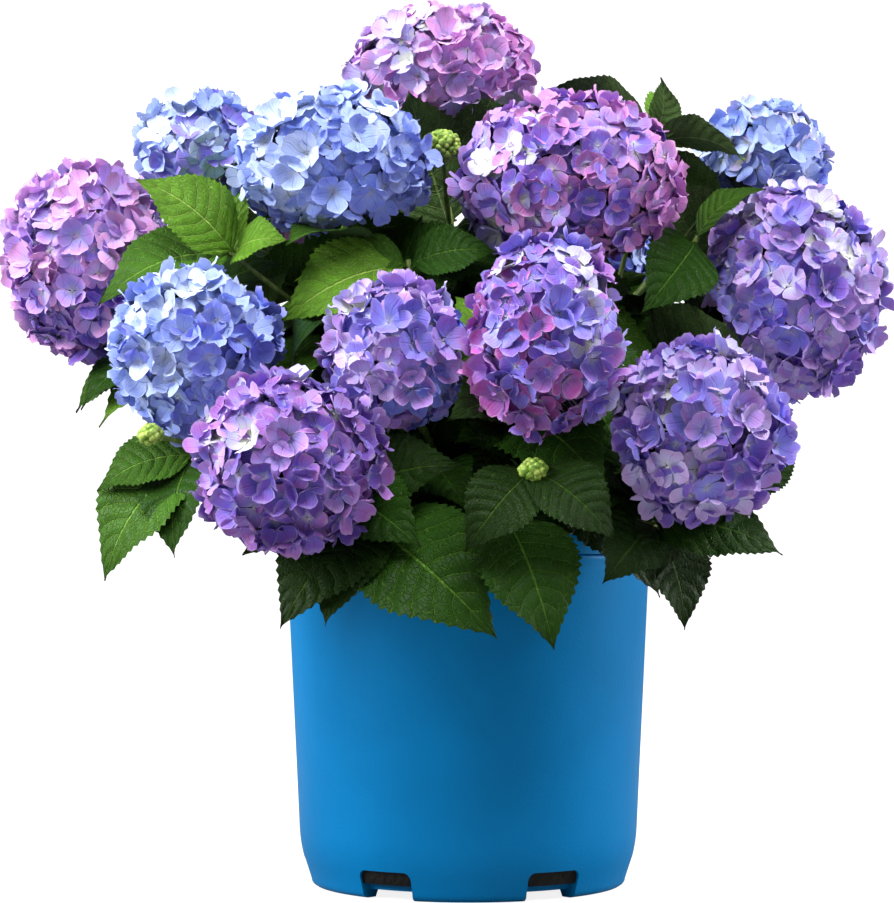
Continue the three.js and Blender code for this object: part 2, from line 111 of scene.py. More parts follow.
def maths(tree, operation, *values):
    return node(tree, "ShaderNodeMath", dict(enumerate(values)), operation=operation).outputs[0]


def fade(tree, value, low, high):
    """0 up to low, 1 from high on, and smooth between."""
    return node(tree, "ShaderNodeMapRange", {"Value": value, "From Min": low, "From Max": high},
                interpolation_type="SMOOTHSTEP").outputs[0]


def mixed(tree, share, first, second, strength=None):
    """The first colour, going over to the second as the share, times any strength, goes to 1."""
    if strength is not None:
        share = maths(tree, "MULTIPLY", share, strength)
    return node(tree, "ShaderNodeMix", {0: share, 6: first, 7: second}, data_type="RGBA").outputs[2]


def grain(tree, place, scale, detail=4.0):
    """Cloudy noise at a place, with a scale in repeats per unit."""
    return node(tree, "ShaderNodeTexNoise",
                {"Vector": place, "Scale": scale, "Detail": detail}).outputs[0]


def stretched(tree, place, *scale):
    """A place scaled on each axis, so that a pattern is drawn out along the smallest of them."""
    return node(tree, "ShaderNodeMapping", {"Vector": place, "Scale": scale}).outputs[0]


def finish(name, **sockets):
    """A new material with the named sockets of its shader set. Returns it with its tree and shader."""
    material = bpy.data.materials.new(name)
    material.use_nodes = True
    tree = material.node_tree
    shader = tree.nodes["Principled BSDF"]
    for key, value in sockets.items():
        shader.inputs[key.replace("_", " ")].default_value = value
    return material, tree, shader


def give(tree, shader, colour=None, roughness=None, relief=None, depth=0.0):
    """Links a pattern to the shader's colour and roughness, and a relief of a depth in metres."""
    if colour is not None:
        tree.links.new(colour, shader.inputs["Base Color"])
    if roughness is not None:
        tree.links.new(roughness, shader.inputs["Roughness"])
    if relief is not None:
        bump = node(tree, "ShaderNodeBump", {"Height": relief, "Distance": depth})
        tree.links.new(bump.outputs[0], shader.inputs["Normal"])


def object_place(tree):
    return node(tree, "ShaderNodeTexCoord").outputs["Object"]


class Build:
    """Gathers the points and faces of one mesh, with a material number and map places for each face."""

    def __init__(self):
        self.points, self.faces, self.slots, self.maps, self.tiles = [], [], [], [], []

    def add(self, points, faces, slot=0, maps=None, tiles=None):
        first = len(self.points)
        self.points += [tuple(p) for p in points]
        self.faces += [tuple(first + k for k in face) for face in faces]
        self.slots += [slot] * len(faces) if isinstance(slot, int) else slot
        self.maps += maps or []
        self.tiles += tiles or []

    def shape(self, name, materials=(), map_name=None, sharp_deg=40):
        mesh = bpy.data.meshes.new(name)
        mesh.from_pydata(self.points, [], self.faces)
        for material in materials:
            mesh.materials.append(material)
        mesh.polygons.foreach_set("material_index", self.slots)
        for layer_name, places in ((map_name, self.maps), ("OFBake", self.tiles)):
            if places:
                layer = mesh.uv_layers.new(name=layer_name)
                layer.data.foreach_set("uv", [c for face in places for place in face for c in place])
        mesh.shade_smooth()
        mesh.set_sharp_from_angle(angle=math.radians(sharp_deg))
        made = bpy.data.objects.new(name, mesh)
        bpy.context.scene.collection.objects.link(made)
        return made


def applied(thing):
    """Turns an object with modifiers into a plain mesh."""
    depsgraph = bpy.context.evaluated_depsgraph_get()
    made = bpy.data.meshes.new_from_object(
        thing.evaluated_get(depsgraph), preserve_all_data_layers=True, depsgraph=depsgraph)
    thing.modifiers.clear()
    thing.data = made
    return made


def lathe(profile, steps=LATHE_STEPS):
    """Turns (radius, height) pairs, from axis to axis and upwards outside, round the pot's axis."""
    points, starts, faces = [], [], []
    for radius, z in profile:
        starts.append(len(points))
        turns = 1 if radius == 0 else steps
        points += [AXIS + Vector((radius * math.sin(2 * math.pi * k / turns),
                                  -radius * math.cos(2 * math.pi * k / turns), z))
                   for k in range(turns)]
    for i, (low, high) in enumerate(zip(starts, starts[1:])):
        for k in range(steps):
            after = (k + 1) % steps
            if profile[i][0] == 0:
                faces.append((low, high + after, high + k))
            elif profile[i + 1][0] == 0:
                faces.append((low + k, low + after, high))
            else:
                faces.append((low + k, low + after, high + after, high + k))
    return points, faces


def outer_radius(z):
    rise = (z - POT_CHAMFER_HEIGHT) / (POT_HEIGHT - POT_CHAMFER_HEIGHT)
    return POT_LOW_RADIUS + (POT_RIM_RADIUS - POT_LOW_RADIUS) * rise


def inner_radius(z):
    slope = (POT_LOW_RADIUS - POT_FOOT_RADIUS) / POT_CHAMFER_HEIGHT
    return (outer_radius(max(z, POT_CHAMFER_HEIGHT)) - POT_WALL
            - max(0, POT_CHAMFER_HEIGHT - z) * slope)


def ring_block(inner, outer, start_deg, end_deg, bottom, top, corner):
    """A block over a stretch of the circle, its top corners rounded. Angles run from the front to +X."""
    steps = BLOCK_STEPS
    arc = math.radians(end_deg - start_deg) * outer
    points, faces = [], []
    for k in range(steps + 1):
        share = 0.5 - 0.5 * math.cos(math.pi * k / steps)
        angle = math.radians(start_deg + (end_deg - start_deg) * share)
        inset = max(0.0, corner - arc * min(share, 1 - share))
        height = top - corner + math.sqrt(max(0.0, corner ** 2 - inset ** 2))
        for radius, z in ((inner, bottom), (outer, bottom), (outer, height), (inner, height)):
            points.append(AXIS + Vector((radius * math.sin(angle), -radius * math.cos(angle), z)))
    for k in range(steps):
        for side in range(4):
            a, b = 4 * k + side, 4 * k + (side + 1) % 4
            faces.append((a, a + 4, b + 4, b))
    faces += [(0, 1, 2, 3), (4 * steps + 3, 4 * steps + 2, 4 * steps + 1, 4 * steps)]
    return points, faces


def pot_profile():
    """The pot's section, from under its floor, up the outside, over the rim and down the inside."""
    rim_centre = POT_RIM_RADIUS - RIM_ROUND
    rim = [(rim_centre + RIM_ROUND * math.cos(a), POT_HEIGHT - RIM_ROUND * (1 - math.sin(a)))
           for a in (math.radians(15 * k) for k in range(1, 7))]
    foot = [(POT_FOOT_RADIUS - FOOT_EDGE_ROUND * (1 - math.sin(a)),
             FOOT_EDGE_ROUND * (1 - math.cos(a))) for a in (math.radians(22.5 * k) for k in range(5))]
    edge = Vector((POT_LOW_RADIUS, POT_CHAMFER_HEIGHT))
    below = edge.lerp(Vector(foot[-1]), CORNER_SHARE)
    above = Vector((outer_radius(POT_CHAMFER_HEIGHT + CORNER_RISE), POT_CHAMFER_HEIGHT + CORNER_RISE))
    corner = [tuple(below.lerp(edge, t).lerp(edge.lerp(above, t), t))
              for t in (k / 8 for k in range(9))]
    return ([(0, FLOOR_RAISE),
             (POT_FOOT_RADIUS - FOOT_WIDTH - FOOT_DRAFT, FLOOR_RAISE),
             (POT_FOOT_RADIUS - FOOT_WIDTH, 0)]
            + foot + corner
            + [(outer_radius(POT_HEIGHT - RIM_ROUND), POT_HEIGHT - RIM_ROUND)]
            + rim
            + [(rim_centre - RIM_CURL, POT_HEIGHT - RIM_ROUND / 2),
               (inner_radius(POT_HEIGHT - 2 * RIM_ROUND), POT_HEIGHT - 2 * RIM_ROUND),
               (inner_radius(POT_CHAMFER_HEIGHT), POT_CHAMFER_HEIGHT),
               (inner_radius(FLOOR_TOP), FLOOR_TOP),
               (0, FLOOR_TOP)])


def block_object(name, *sizes):
    build = Build()
    build.add(*ring_block(*sizes))
    return build.shape(name, [plastic])


def pot_plastic():
    """Blue plastic with a soft sheen, its colour a little uneven and its gloss worn in fine scuffs."""
    material, tree, shader = finish("blue_plastic", Specular_IOR_Level=0.08)
    place = object_place(tree)
    cloud = grain(tree, place, 9.0, 3.0)
    scuff = fade(tree, grain(tree, stretched(tree, place, 1.0, 1.0, 0.08), 420.0, 6.0), 0.52, 0.7)
    body = mixed(tree, fade(tree, cloud, 0.3, 0.7), srgb(0, 106, 163), srgb(0, 115, 176))
    worn = mixed(tree, scuff, body, srgb(60, 165, 215), 0.012)
    gloss = maths(tree, "MULTIPLY_ADD", scuff, 0.06, maths(tree, "MULTIPLY_ADD", cloud, 0.1, 0.34))
    give(tree, shader, worn, gloss, grain(tree, place, 700.0, 2.0), 0.00012)
    return material


pot_build = Build()
pot_build.add(*lathe(pot_profile()))
plastic = pot_plastic()
pot = pot_build.shape("nursery_pot", [plastic])
cutters = []
for i in range(DRAIN_COUNT):
    middle = (i + 0.5) * 360 / DRAIN_COUNT
    span = (middle - DRAIN_WIDTH_DEG / 2, middle + DRAIN_WIDTH_DEG / 2)
    cutters.append((block_object(f"under_floor_{i}", POT_FOOT_RADIUS - 1.5 * FOOT_WIDTH,
                                 POT_RIM_RADIUS, *span, -FLOOR_RAISE,
                                 FLOOR_RAISE - FLOOR_SKIN, SQUARE_CORNER), "DIFFERENCE"))
    cutters.append((block_object(f"through_wall_{i}", POT_FOOT_RADIUS - FOOT_WIDTH / 2,
                                 POT_RIM_RADIUS, *span, FLOOR_RAISE / 2,
                                 DRAIN_HEIGHT, DRAIN_CORNER), "DIFFERENCE"))
cutters.append((block_object("lip", POT_RIM_RADIUS - RIM_ROUND - LIP_BACK, POT_RIM_RADIUS + LIP_PROUD,
                             LIP_START_DEG, LIP_END_DEG, POT_HEIGHT - LIP_PROUD,
                             POT_HEIGHT + LIP_HEIGHT, LIP_CORNER), "UNION"))
for cutter, operation in cutters:
    cut = pot.modifiers.new(cutter.name, "BOOLEAN")
    cut.operation, cut.solver, cut.object = operation, "MANIFOLD", cutter
edge = pot.modifiers.new("edge", "BEVEL")
edge.width, edge.segments, edge.limit_method = EDGE_BEVEL, 2, "ANGLE"
edge.angle_limit = math.radians(EDGE_BEVEL_DEG)
applied(pot)
pot.data.shade_smooth()
pot.data.set_sharp_from_angle(angle=math.radians(EDGE_SHARP_DEG))
for cutter, operation in cutters:
    bpy.data.objects.remove(cutter)
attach(pot, "root")
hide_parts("pot")


# ---- Potting mix ------------------------------------------------------------------------------
# Dark peat and composted bark, filled to a thumb's width below the rim. The fill is a lumpy body,
# and loose chips of bark and a few white grains of perlite lie on it.

SOIL_TOP = POT_HEIGHT - 20 * MM
SOIL_GAP = 0.7 * MM
SOIL_RINGS = 26
SOIL_TURNS = 96
SOIL_SETTLED = 2.2 * MM         # the mix has settled this far below the level it was filled to
SOIL_HEAPS = 1.6 * MM
SOIL_LUMPS = 1.1 * MM
CLEARANCE = 0.3 * MM
CHIP_SIZE = (7 * MM, 3.4 * MM, 1.2 * MM)
CHIP_DENSITY = 26000            # pieces on each square metre
PERLITE_SIZE = (2.6 * MM, 2.4 * MM, 2.0 * MM)
PERLITE_DENSITY = 2600
LOOSE_SINK = 0.2 * MM           # chips and grains sit this deep in the mix
LOOSE_MARGIN = 4 * MM           # and this far or more from its edge
WHOLE_TURN = 6.28


def soil_height(x, y):
    """The mix has settled into low heaps, with lumps on them."""
    place = Vector((x, y, 0))
    return (SOIL_TOP - SOIL_SETTLED + SOIL_HEAPS * noise.noise(place * 45)
            + SOIL_LUMPS * noise.noise(place * 150))


def potting_mix():
    """Peat with brown fibres and a crumbly relief, painted nearly black low down for the shade
    inside the pot.
    """
    material, tree, shader = finish("peat_shaded_low", Roughness=0.95)
    place = object_place(tree)
    crumbs = grain(tree, place, 260.0, 8.0)
    height = node(tree, "ShaderNodeSeparateXYZ", {0: place}).outputs[2]
    # Painted shade: towards the bottom the mix goes nearly black, for the shade inside the pot and its
    # drain notches.
    fibre_over_painted_shade = mixed(tree, fade(tree, height, 0.04, 0.14), srgb(22, 16, 12), srgb(74, 52, 34))
    colour = mixed(tree, fade(tree, crumbs, 0.42, 0.66), srgb(14, 10, 8), fibre_over_painted_shade)
    give(tree, shader, colour, None, crumbs, 0.002)
    return material


def dry_chip(name, dark, light):
    """Dry bark or perlite, streaked one way."""
    material, tree, shader = finish(name, Roughness=0.85)
    streak = grain(tree, stretched(tree, object_place(tree), 1.0, 0.25, 1.0), 520.0, 5.0)
    give(tree, shader, mixed(tree, fade(tree, streak, 0.35, 0.68), dark, light), None, streak, 0.0006)
    return material


soil_edge = inner_radius(SOIL_TOP) - SOIL_GAP
soil_profile = ([(0, FLOOR_TOP + CLEARANCE),
                 (inner_radius(FLOOR_TOP) - SOIL_GAP, FLOOR_TOP + CLEARANCE),
                 (inner_radius(POT_CHAMFER_HEIGHT) - SOIL_GAP, POT_CHAMFER_HEIGHT)]
                + [(soil_edge * (1 - k / SOIL_RINGS), SOIL_TOP) for k in range(SOIL_RINGS + 1)])
soil_points, soil_faces = lathe(soil_profile, SOIL_TURNS)
soil_points = [Vector((p.x, p.y, soil_height(p.x, p.y) if p.z > SOIL_TOP - 1 * MM else p.z))
               for p in soil_points]
soil_build = Build()
soil_build.add(soil_points, soil_faces)
soil = soil_build.shape("potting_mix", [potting_mix()], sharp_deg=80)
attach(soil, "root")
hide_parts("soil")


def geometry_tree(name, sockets):
    """An empty Geometry Nodes tree. Returns it, its input node, and each input's identifier."""
    tree = bpy.data.node_groups.new(name, "GeometryNodeTree")
    keys = {}
    for socket, kind in sockets:
        keys[socket] = tree.interface.new_socket(
            name=socket, in_out="INPUT", socket_type=f"NodeSocket{kind}").identifier
    tree.interface.new_socket(name="Made", in_out="OUTPUT", socket_type="NodeSocketGeometry")
    return tree, tree.nodes.new("NodeGroupInput"), keys


def random_field(tree, low, high, seed):
    """A random number from low to high, or a random vector where low is one."""
    kind, first, result = ("FLOAT_VECTOR", 0, 0) if isinstance(low, tuple) else ("FLOAT", 2, 1)
    made = node(tree, "FunctionNodeRandomValue", {first: low, first + 1: high, "Seed": seed},
                data_type=kind)
    return made.outputs[result]


def spread(tree, share, low, high):
    """Sets a share from 0 to 1 between two sizes."""
    return node(tree, "ShaderNodeMapRange", {"Value": share, "To Min": low, "To Max": high}).outputs[0]


def grown(name, tree, keys, values, base=None):
    """Runs a Geometry Nodes tree once, with its named inputs, and keeps what it makes as a mesh."""
    mesh = base.copy() if base else bpy.data.meshes.new(name)
    made = bpy.data.objects.new(name, mesh)
    bpy.context.scene.collection.objects.link(made)
    modifier = made.modifiers.new(tree.name, "NODES")
    modifier.node_group = tree
    for socket, value in values.items():
        modifier[keys[socket]] = value
    applied(made)
    made.data.name = name
    # Where the tree starts from a mesh without materials, the first slot comes out empty.
    if made.data.materials[0] is None:
        numbers = [face.material_index - 1 for face in made.data.polygons]
        made.data.materials.pop(index=0)
        made.data.polygons.foreach_set("material_index", numbers)
    return made


def scatter_tree():
    """Strews copies of one small shape over a surface, each turned and sized at random."""
    tree, given, keys = geometry_tree("scatter", (
        ("Surface", "Geometry"), ("Density", "Float"), ("Shape", "Object"), ("Smallest", "Float"),
        ("Largest", "Float"), ("Seed", "Int"), ("Material", "Material")))
    asked = given.outputs
    strewn = node(tree, "GeometryNodeDistributePointsOnFaces",
                  {"Mesh": asked["Surface"], "Density": asked["Density"], "Seed": asked["Seed"]})
    turn = random_field(tree, (-0.5, -0.5, 0.0), (0.5, 0.5, WHOLE_TURN), asked["Seed"])
    lot = random_field(tree, 0.0, 1.0, maths(tree, "ADD", asked["Seed"], 7.0))
    size = spread(tree, lot, asked["Smallest"], asked["Largest"])
    shape = node(tree, "GeometryNodeObjectInfo", {"Object": asked["Shape"]}).outputs["Geometry"]
    copies = node(tree, "GeometryNodeInstanceOnPoints",
                  {"Points": strewn.outputs["Points"], "Instance": shape,
                   "Rotation": turn, "Scale": size}).outputs[0]
    plain = node(tree, "GeometryNodeRealizeInstances", {0: copies}).outputs[0]
    painted = node(tree, "GeometryNodeSetMaterial",
                   {"Geometry": plain, "Material": asked["Material"]}).outputs[0]
    node(tree, "NodeGroupOutput", {0: painted})
    return tree, keys


def chip_shape(name, length, width, height):
    """A small splintered block, one end narrower than the other."""
    build = Build()
    points = [Vector((x * length / 2, y * width / 2 * (0.7 if x > 0 else 1) + 0.1 * x * width,
                      z * height / 2 * (0.8 if y > 0 else 1)))
              for x in (-1, 1) for y in (-1, 1) for z in (-1, 1)]
    build.add(points, [(0, 1, 3, 2), (4, 6, 7, 5), (0, 4, 5, 1),
                       (2, 3, 7, 6), (0, 2, 6, 4), (1, 5, 7, 3)])
    return build.shape(name)


def bears_chips(place):
    """Whether a point is on the open top of the mix, clear of the pot's wall."""
    return place.z > SOIL_TOP - 6 * MM and (place - AXIS).xy.length < soil_edge - LOOSE_MARGIN


surface_build = Build()
surface_build.add([p - Vector((0, 0, LOOSE_SINK)) for p in soil_points],
                  [face for face in soil_faces if all(bears_chips(soil_points[c]) for c in face)])
surface = surface_build.shape("soil_surface")
scatter, scatter_keys = scatter_tree()
chip = chip_shape("chip", *CHIP_SIZE)
pearl = chip_shape("pearl", *PERLITE_SIZE)
for name, shape, density, sizes, seed, material in (
        ("bark_chips", chip, CHIP_DENSITY, (0.5, 1.25), 3,
         dry_chip("bark_chip", srgb(44, 28, 18), srgb(116, 82, 54))),
        ("perlite_grains", pearl, PERLITE_DENSITY, (0.5, 1.0), 5,
         dry_chip("perlite", srgb(206, 202, 192), srgb(240, 238, 232)))):
    strewn = grown(name, scatter, scatter_keys,
                   {"Density": float(density), "Shape": shape, "Smallest": sizes[0], "Largest": sizes[1],
                    "Seed": seed, "Material": material}, surface.data)
    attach(strewn, "root")
for spare in (surface, chip, pearl):
    bpy.data.objects.remove(spare)


# ---- Root crown and canes ---------------------------------------------------------------------
# The woody part of the shrub: a knotted crown on the mix, and a bare cane for each flower head,
# with thin brown bark that splits lengthwise and rings where old leaves sat.

CROWN_RADIUS = 30 * MM
CROWN_SINK = 3 * MM
CROWN_CENTRE = AXIS + Vector((0, 0, SOIL_TOP - CROWN_SINK))
CROWN_RINGS = 18
CROWN_TURNS = 60
CROWN_DIP = 0.12                # radians of the dome that are buried in the mix
CANE_BASE_RADIUS = 3.7 * MM
CANE_TIP_RADIUS = 2.9 * MM
CANE_SHARE = 0.46               # part of the way to the flower that is bare cane
CANE_ARCH = 0.1                 # rise of a cane's arch, as a share of its length
CANE_SIDES = 14
CANE_STEPS = 70
CANE_OVERRUN = 6 * MM           # it starts this far inside the crown
BARK_RELIEF = 0.3 * MM
RING_SPACING = 26 * MM
RING_RISE = 0.7 * MM
RING_WIDTH = 1.6 * MM
HEAD_GAP = 2 * MM               # a shoot ends this far short of its flower head

# Each flowering cane: the middle of its flower head, the head's width, depth and height, the twigs
# of its shoot, and the head's five tints with the way in which the last of them gather. That way
# runs mostly downwards, to the head's shaded side, so the darker tints gathering there are partly
# a real change of hue and partly painted shade. Millimetres from the pot's axis. A twig leaves the
# shoot at a share of its length, and ends in leaves (heading from +X, climb above level, length),
# in a ball of green buds (its radius), or in both.
FLOWERING_CANES = [
    dict(name="far_left", at=(-244, -20, 400), size=(113, 122, 134), slot="sepal_pink",
         tints=("pale lilac", "pink lilac", "pink lilac", "lilac", "violet"), lean=(0.3, 0, -0.9),
         twigs=[(0.7, (-186, -27, 343), [(176, -14, 81), (-160, -31, 78)])]),
    dict(name="upper_left", at=(-187, 100, 493), size=(90, 88, 84), slot="sepal_violet",
         tints=("ice", "ice", "pale blue", "sky", "periwinkle"), lean=(0.5, 0, -0.5)),
    dict(name="blue_top", at=(-86, -60, 458), size=(133, 116, 101), slot="sepal_blue",
         tints=("ice", "ice", "pale blue", "sky", "sky"), lean=(0.7, 0, -0.5),
         twigs=[(0.15, (-149, -70, 400), [(-170, 37, 78), (108, 51, 60), (28, 49, 36),
                                          (-46, 6, 52), (-163, -21, 92)])]),
    dict(name="crown_pink", at=(-18, 45, 536), size=(136, 116, 95), slot="sepal_pink",
         tints=("milky", "pink lilac", "pale lilac", "pink lilac", "orchid"), lean=(0.6, 0, -0.5),
         twigs=[(0.45, (-17, -28, 474), 13)]),
    dict(name="rose_right", at=(64, -50, 448), size=(152, 132, 116), slot="sepal_pink",
         tints=("milky", "lilac", "violet", "orchid", "orchid"), lean=(0.9, 0, 0)),
    dict(name="upper_right", at=(206, 100, 486), size=(97, 92, 84), slot="sepal_blue",
         tints=("milky", "ice", "pale blue", "sky", "cornflower"), lean=(0, 0, -0.9),
         twigs=[(0.15, (123, 22, 488), [(-80, 59, 46), (-24, -14, 66), (164, 29, 82), (70, 20, 74)])]),
    dict(name="far_right", at=(210, -10, 380), size=(127, 136, 146), slot="sepal_violet",
         tints=("milky", "pale lilac", "lilac", "periwinkle", "violet"), lean=(0, 0, -0.7),
         twigs=[(0.1, (147, -32, 415), [(-133, -42, 75), (-13, 36, 56)])]),
    dict(name="left_blue", at=(-166, -110, 336), size=(109, 108, 110), slot="sepal_blue",
         tints=("ice", "ice", "pale blue", "sky", "cornflower"), lean=(0.6, 0, -0.6),
         twigs=[(0.1, (-169, -112, 272), [(-175, -20, 64), (-168, -54, 94), (-103, -57, 74)]),
                (0.1, (-190, -140, 283), 7)]),
    dict(name="centre_lilac", at=(-44, -130, 332), size=(95, 94, 97), slot="sepal_violet",
         tints=("milky", "pale lilac", "lilac", "periwinkle", "cornflower"), lean=(0.7, 0, -0.7),
         twigs=[(0.1, (-38, -74, 395), [(0, 9, 56), (174, 1, 52), (-173, -25, 88)]),
                (0.3, (-22, -112, 262), [(-69, -24, 60), (-130, -27, 58)])]),
    dict(name="centre_violet", at=(43, -180, 339), size=(96, 98, 125), slot="sepal_pink",
         tints=("milky", "periwinkle", "violet", "mauve", "magenta"), lean=(-0.5, 0, -0.8),
         twigs=[(0.1, (36, -188, 260), 8, [(-156, -48, 64), (-15, -40, 64)]),
                (0.05, (20, -164, 233), [(-47, -62, 88)])]),
    dict(name="low_left", at=(-104, -190, 264), size=(119, 114, 109), slot="sepal_violet",
         tints=("milky", "lilac", "violet", "mauve", "deep violet"), lean=(0.6, 0, -0.6),
         twigs=[(0.1, (-62, -146, 228), [(-32, -36, 112), (-143, -44, 86), (-118, -50, 76)])]),
    dict(name="low_right", at=(137, -140, 285), size=(112, 112, 115), slot="sepal_violet",
         tints=("milky", "pale lilac", "lilac", "periwinkle", "violet"), lean=(0.3, 0, -0.7),
         twigs=[(0.15, (113, -108, 229), [(-51, -65, 70), (-9, -13, 82), (-126, -33, 66),
                                          (-88, -45, 46)]),
                (0.3, (165, -75, 250), [(19, 29, 56)])]),
    dict(name="rear_left", at=(-152, 120, 335), size=(112, 112, 110), slot="sepal_blue",
         tints=("ice", "pale blue", "sky", "periwinkle", "violet"), lean=(0, 0, -0.5)),
    dict(name="rear_middle", at=(-10, 186, 300), size=(118, 112, 112), slot="sepal_violet",
         tints=("pale lilac", "lilac", "mauve", "violet", "deep violet"), lean=(0, 0, -0.5)),
    dict(name="rear_right", at=(146, 130, 322), size=(116, 114, 112), slot="sepal_pink",
         tints=("pale lilac", "pink lilac", "lilac", "orchid", "violet"), lean=(0, 0, -0.5)),
    dict(name="rear_upper_left", at=(-94, 160, 455), size=(106, 104, 100), slot="sepal_pink",
         tints=("pale lilac", "pink lilac", "lilac", "orchid", "mauve"), lean=(0, 0, -0.5)),
    dict(name="rear_upper_right", at=(84, 164, 425), size=(110, 106, 106), slot="sepal_blue",
         tints=("ice", "pale blue", "sky", "periwinkle", "cornflower"), lean=(0, 0, -0.5)),
]


def spot(place):
    """A place given in millimetres from the pot's axis, in the frame."""
    return AXIS + Vector(place) * MM


class Path:
    """A smooth line, read by the share of its length."""

    def __init__(self, points):
        self.points, self.lengths = points, [0.0]
        for here, there in zip(points, points[1:]):
            self.lengths.append(self.lengths[-1] + (there - here).length)
        self.length = self.lengths[-1]

    def at(self, share):
        reach = min(max(share, 0.0), 1.0) * self.length
        k = min(bisect_right(self.lengths, reach), len(self.points) - 1)
        span = self.lengths[k] - self.lengths[k - 1]
        return self.points[k - 1].lerp(self.points[k], (reach - self.lengths[k - 1]) / span)

    def way(self, share):
        return (self.at(share + 0.01) - self.at(share - 0.01)).normalized()

    def stretch(self, start, end, steps=120):
        return Path([self.at(start + (end - start) * k / steps) for k in range(steps + 1)])


def bent(start, bend, end, steps=200):
    """A line from start to end that is drawn towards its bend."""
    return Path([start.lerp(bend, k / steps).lerp(bend.lerp(end, k / steps), k / steps)
                 for k in range(steps + 1)])


def head_reach(head, way):
    """How far a flower head reaches from its middle in a direction."""
    wide, deep, tall = (width * MM / 2 for width in head["size"])
    return 1 / math.hypot(way.x / wide, way.y / deep, way.z / tall)


def stem_path(head):
    """The line that cane and shoot follow, from the crown to the underside of the flower head."""
    middle = spot(head["at"])
    outward = (middle - CROWN_CENTRE).normalized()
    end = middle - outward * (head_reach(head, outward) + HEAD_GAP)
    bend = CROWN_CENTRE.lerp(end, 0.5)
    bend.z += 2 * CANE_ARCH * (end - CROWN_CENTRE).length
    start = CROWN_CENTRE + (bend - CROWN_CENTRE).normalized() * (CROWN_RADIUS + CLEARANCE)
    return bent(start, bend, end)


def tube(path, radius_at, sides, steps, overrun=0.0):
    """A closed round limb along a line. radius_at takes the share of the length and the turn. The
    overrun is how much sooner the limb starts than its line."""
    points, faces = [], []
    side = None
    for i in range(steps + 1):
        share = i / steps
        way = path.way(share)
        side = way.orthogonal() if side is None else side - way * side.dot(way)
        side.normalize()
        other = way.cross(side)
        middle = path.at(share)
        if i == 0:
            middle = middle - way * overrun
        for k in range(sides):
            turn = 2 * math.pi * k / sides
            points.append(middle + (side * math.cos(turn) + other * math.sin(turn))
                          * radius_at(share, turn))
    for i in range(steps):
        for k in range(sides):
            a, b = i * sides + k, i * sides + (k + 1) % sides
            faces.append((a, b, b + sides, a + sides))
    faces.append(tuple(range(sides - 1, -1, -1)))
    faces.append(tuple(steps * sides + k for k in range(sides)))
    return points, faces


def cane_radius(head, path):
    """Taper, lengthwise splits in the bark, and a raised ring wherever a pair of leaves has been."""
    def radius(share, turn):
        taper = CANE_BASE_RADIUS + (CANE_TIP_RADIUS - CANE_BASE_RADIUS) * share
        place = Vector((math.cos(turn) * 1.6, math.sin(turn) * 1.6, share * path.length * 55))
        split = noise.noise(place + Vector(head["at"]))
        ring = abs((share * path.length / RING_SPACING + 0.5) % 1 - 0.5) * RING_SPACING
        swelling = RING_RISE * math.exp(-(ring / RING_WIDTH) ** 2)
        return taper + BARK_RELIEF * split + swelling
    return radius


def crown_knot():
    """The low dome that all canes spring from, with a lumpy, grown-together surface."""
    low = math.asin((SOIL_TOP - CROWN_CENTRE.z) / CROWN_RADIUS) - CROWN_DIP
    profile = [(0.0, CROWN_CENTRE.z + CROWN_RADIUS * math.sin(low))]
    for i in range(CROWN_RINGS):
        angle = low + (math.pi / 2 - low) * i / CROWN_RINGS
        profile.append((CROWN_RADIUS * math.cos(angle), CROWN_CENTRE.z + CROWN_RADIUS * math.sin(angle)))
    profile.append((0.0, CROWN_CENTRE.z + CROWN_RADIUS))
    points, faces = lathe(profile, CROWN_TURNS)
    lumpy = []
    for p in points:
        out = p - CROWN_CENTRE
        lift = 1 + 0.07 * noise.noise(p * 60) + 0.03 * noise.noise(p * 190)
        lumpy.append(CROWN_CENTRE + Vector((out.x * lift, out.y * lift, out.z * min(lift, 1.03))))
    return lumpy, faces


def cane_bark():
    """Thin bark, in patches of two fawns, with dark splits along it."""
    material, tree, shader = finish("fawn_bark", Roughness=0.82)
    place = object_place(tree)
    splits = grain(tree, stretched(tree, place, 1.0, 1.0, 0.16), 620.0, 8.0)
    patches = grain(tree, place, 38.0, 3.0)
    body = mixed(tree, fade(tree, patches, 0.38, 0.62), srgb(112, 84, 56), srgb(146, 120, 84))
    colour = mixed(tree, fade(tree, splits, 0.56, 0.4), body, srgb(58, 40, 27))
    give(tree, shader, colour, None, splits, 0.0007)
    return material


wood_build = Build()
wood_build.add(*crown_knot())
for head in FLOWERING_CANES:
    head["stem"] = stem_path(head)
    cane = head["stem"].stretch(0, CANE_SHARE)
    wood_build.add(*tube(cane, cane_radius(head, cane), CANE_SIDES, CANE_STEPS, CANE_OVERRUN))
wood = wood_build.shape("woody_canes", [cane_bark()], sharp_deg=70)
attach(wood, "root")
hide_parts("root_crown", *(f"cane_{head['name']}" for head in FLOWERING_CANES))


# ---- Green shoots -----------------------------------------------------------------------------
# This year's growth, soft and green, goes on from each cane. It swells at every pair of leaves,
# carries side twigs, and ends in the stalk that runs into the flower head.

SHOOT_RADIUS = 2.5 * MM
SHOOT_SIDES, SHOOT_STEPS = 10, 60
SHOOT_OVERRUN = 3 * MM
PEDUNCLE_RADIUS = 2.1 * MM
PEDUNCLE_TAPER = 0.3
PEDUNCLE_LEAD = 0.3             # part of the way to the head's middle that its stalk runs straight on
PEDUNCLE_SIDES, PEDUNCLE_STEPS = 8, 8
PEDUNCLE_OVERRUN = 2 * MM
TWIG_RADIUS = 1.9 * MM
TWIG_TAPER = 0.8
TWIG_SAG = 0.06
TWIG_SIDES, TWIG_STEPS = 8, 24
TWIG_JOINTS = (0, 0.97)
PAIR_SHARES = (0.18, 0.37, 0.56, 0.74, 0.92)
JOINT_SWELLING = 0.9 * MM
JOINT_LENGTH = 3 * MM


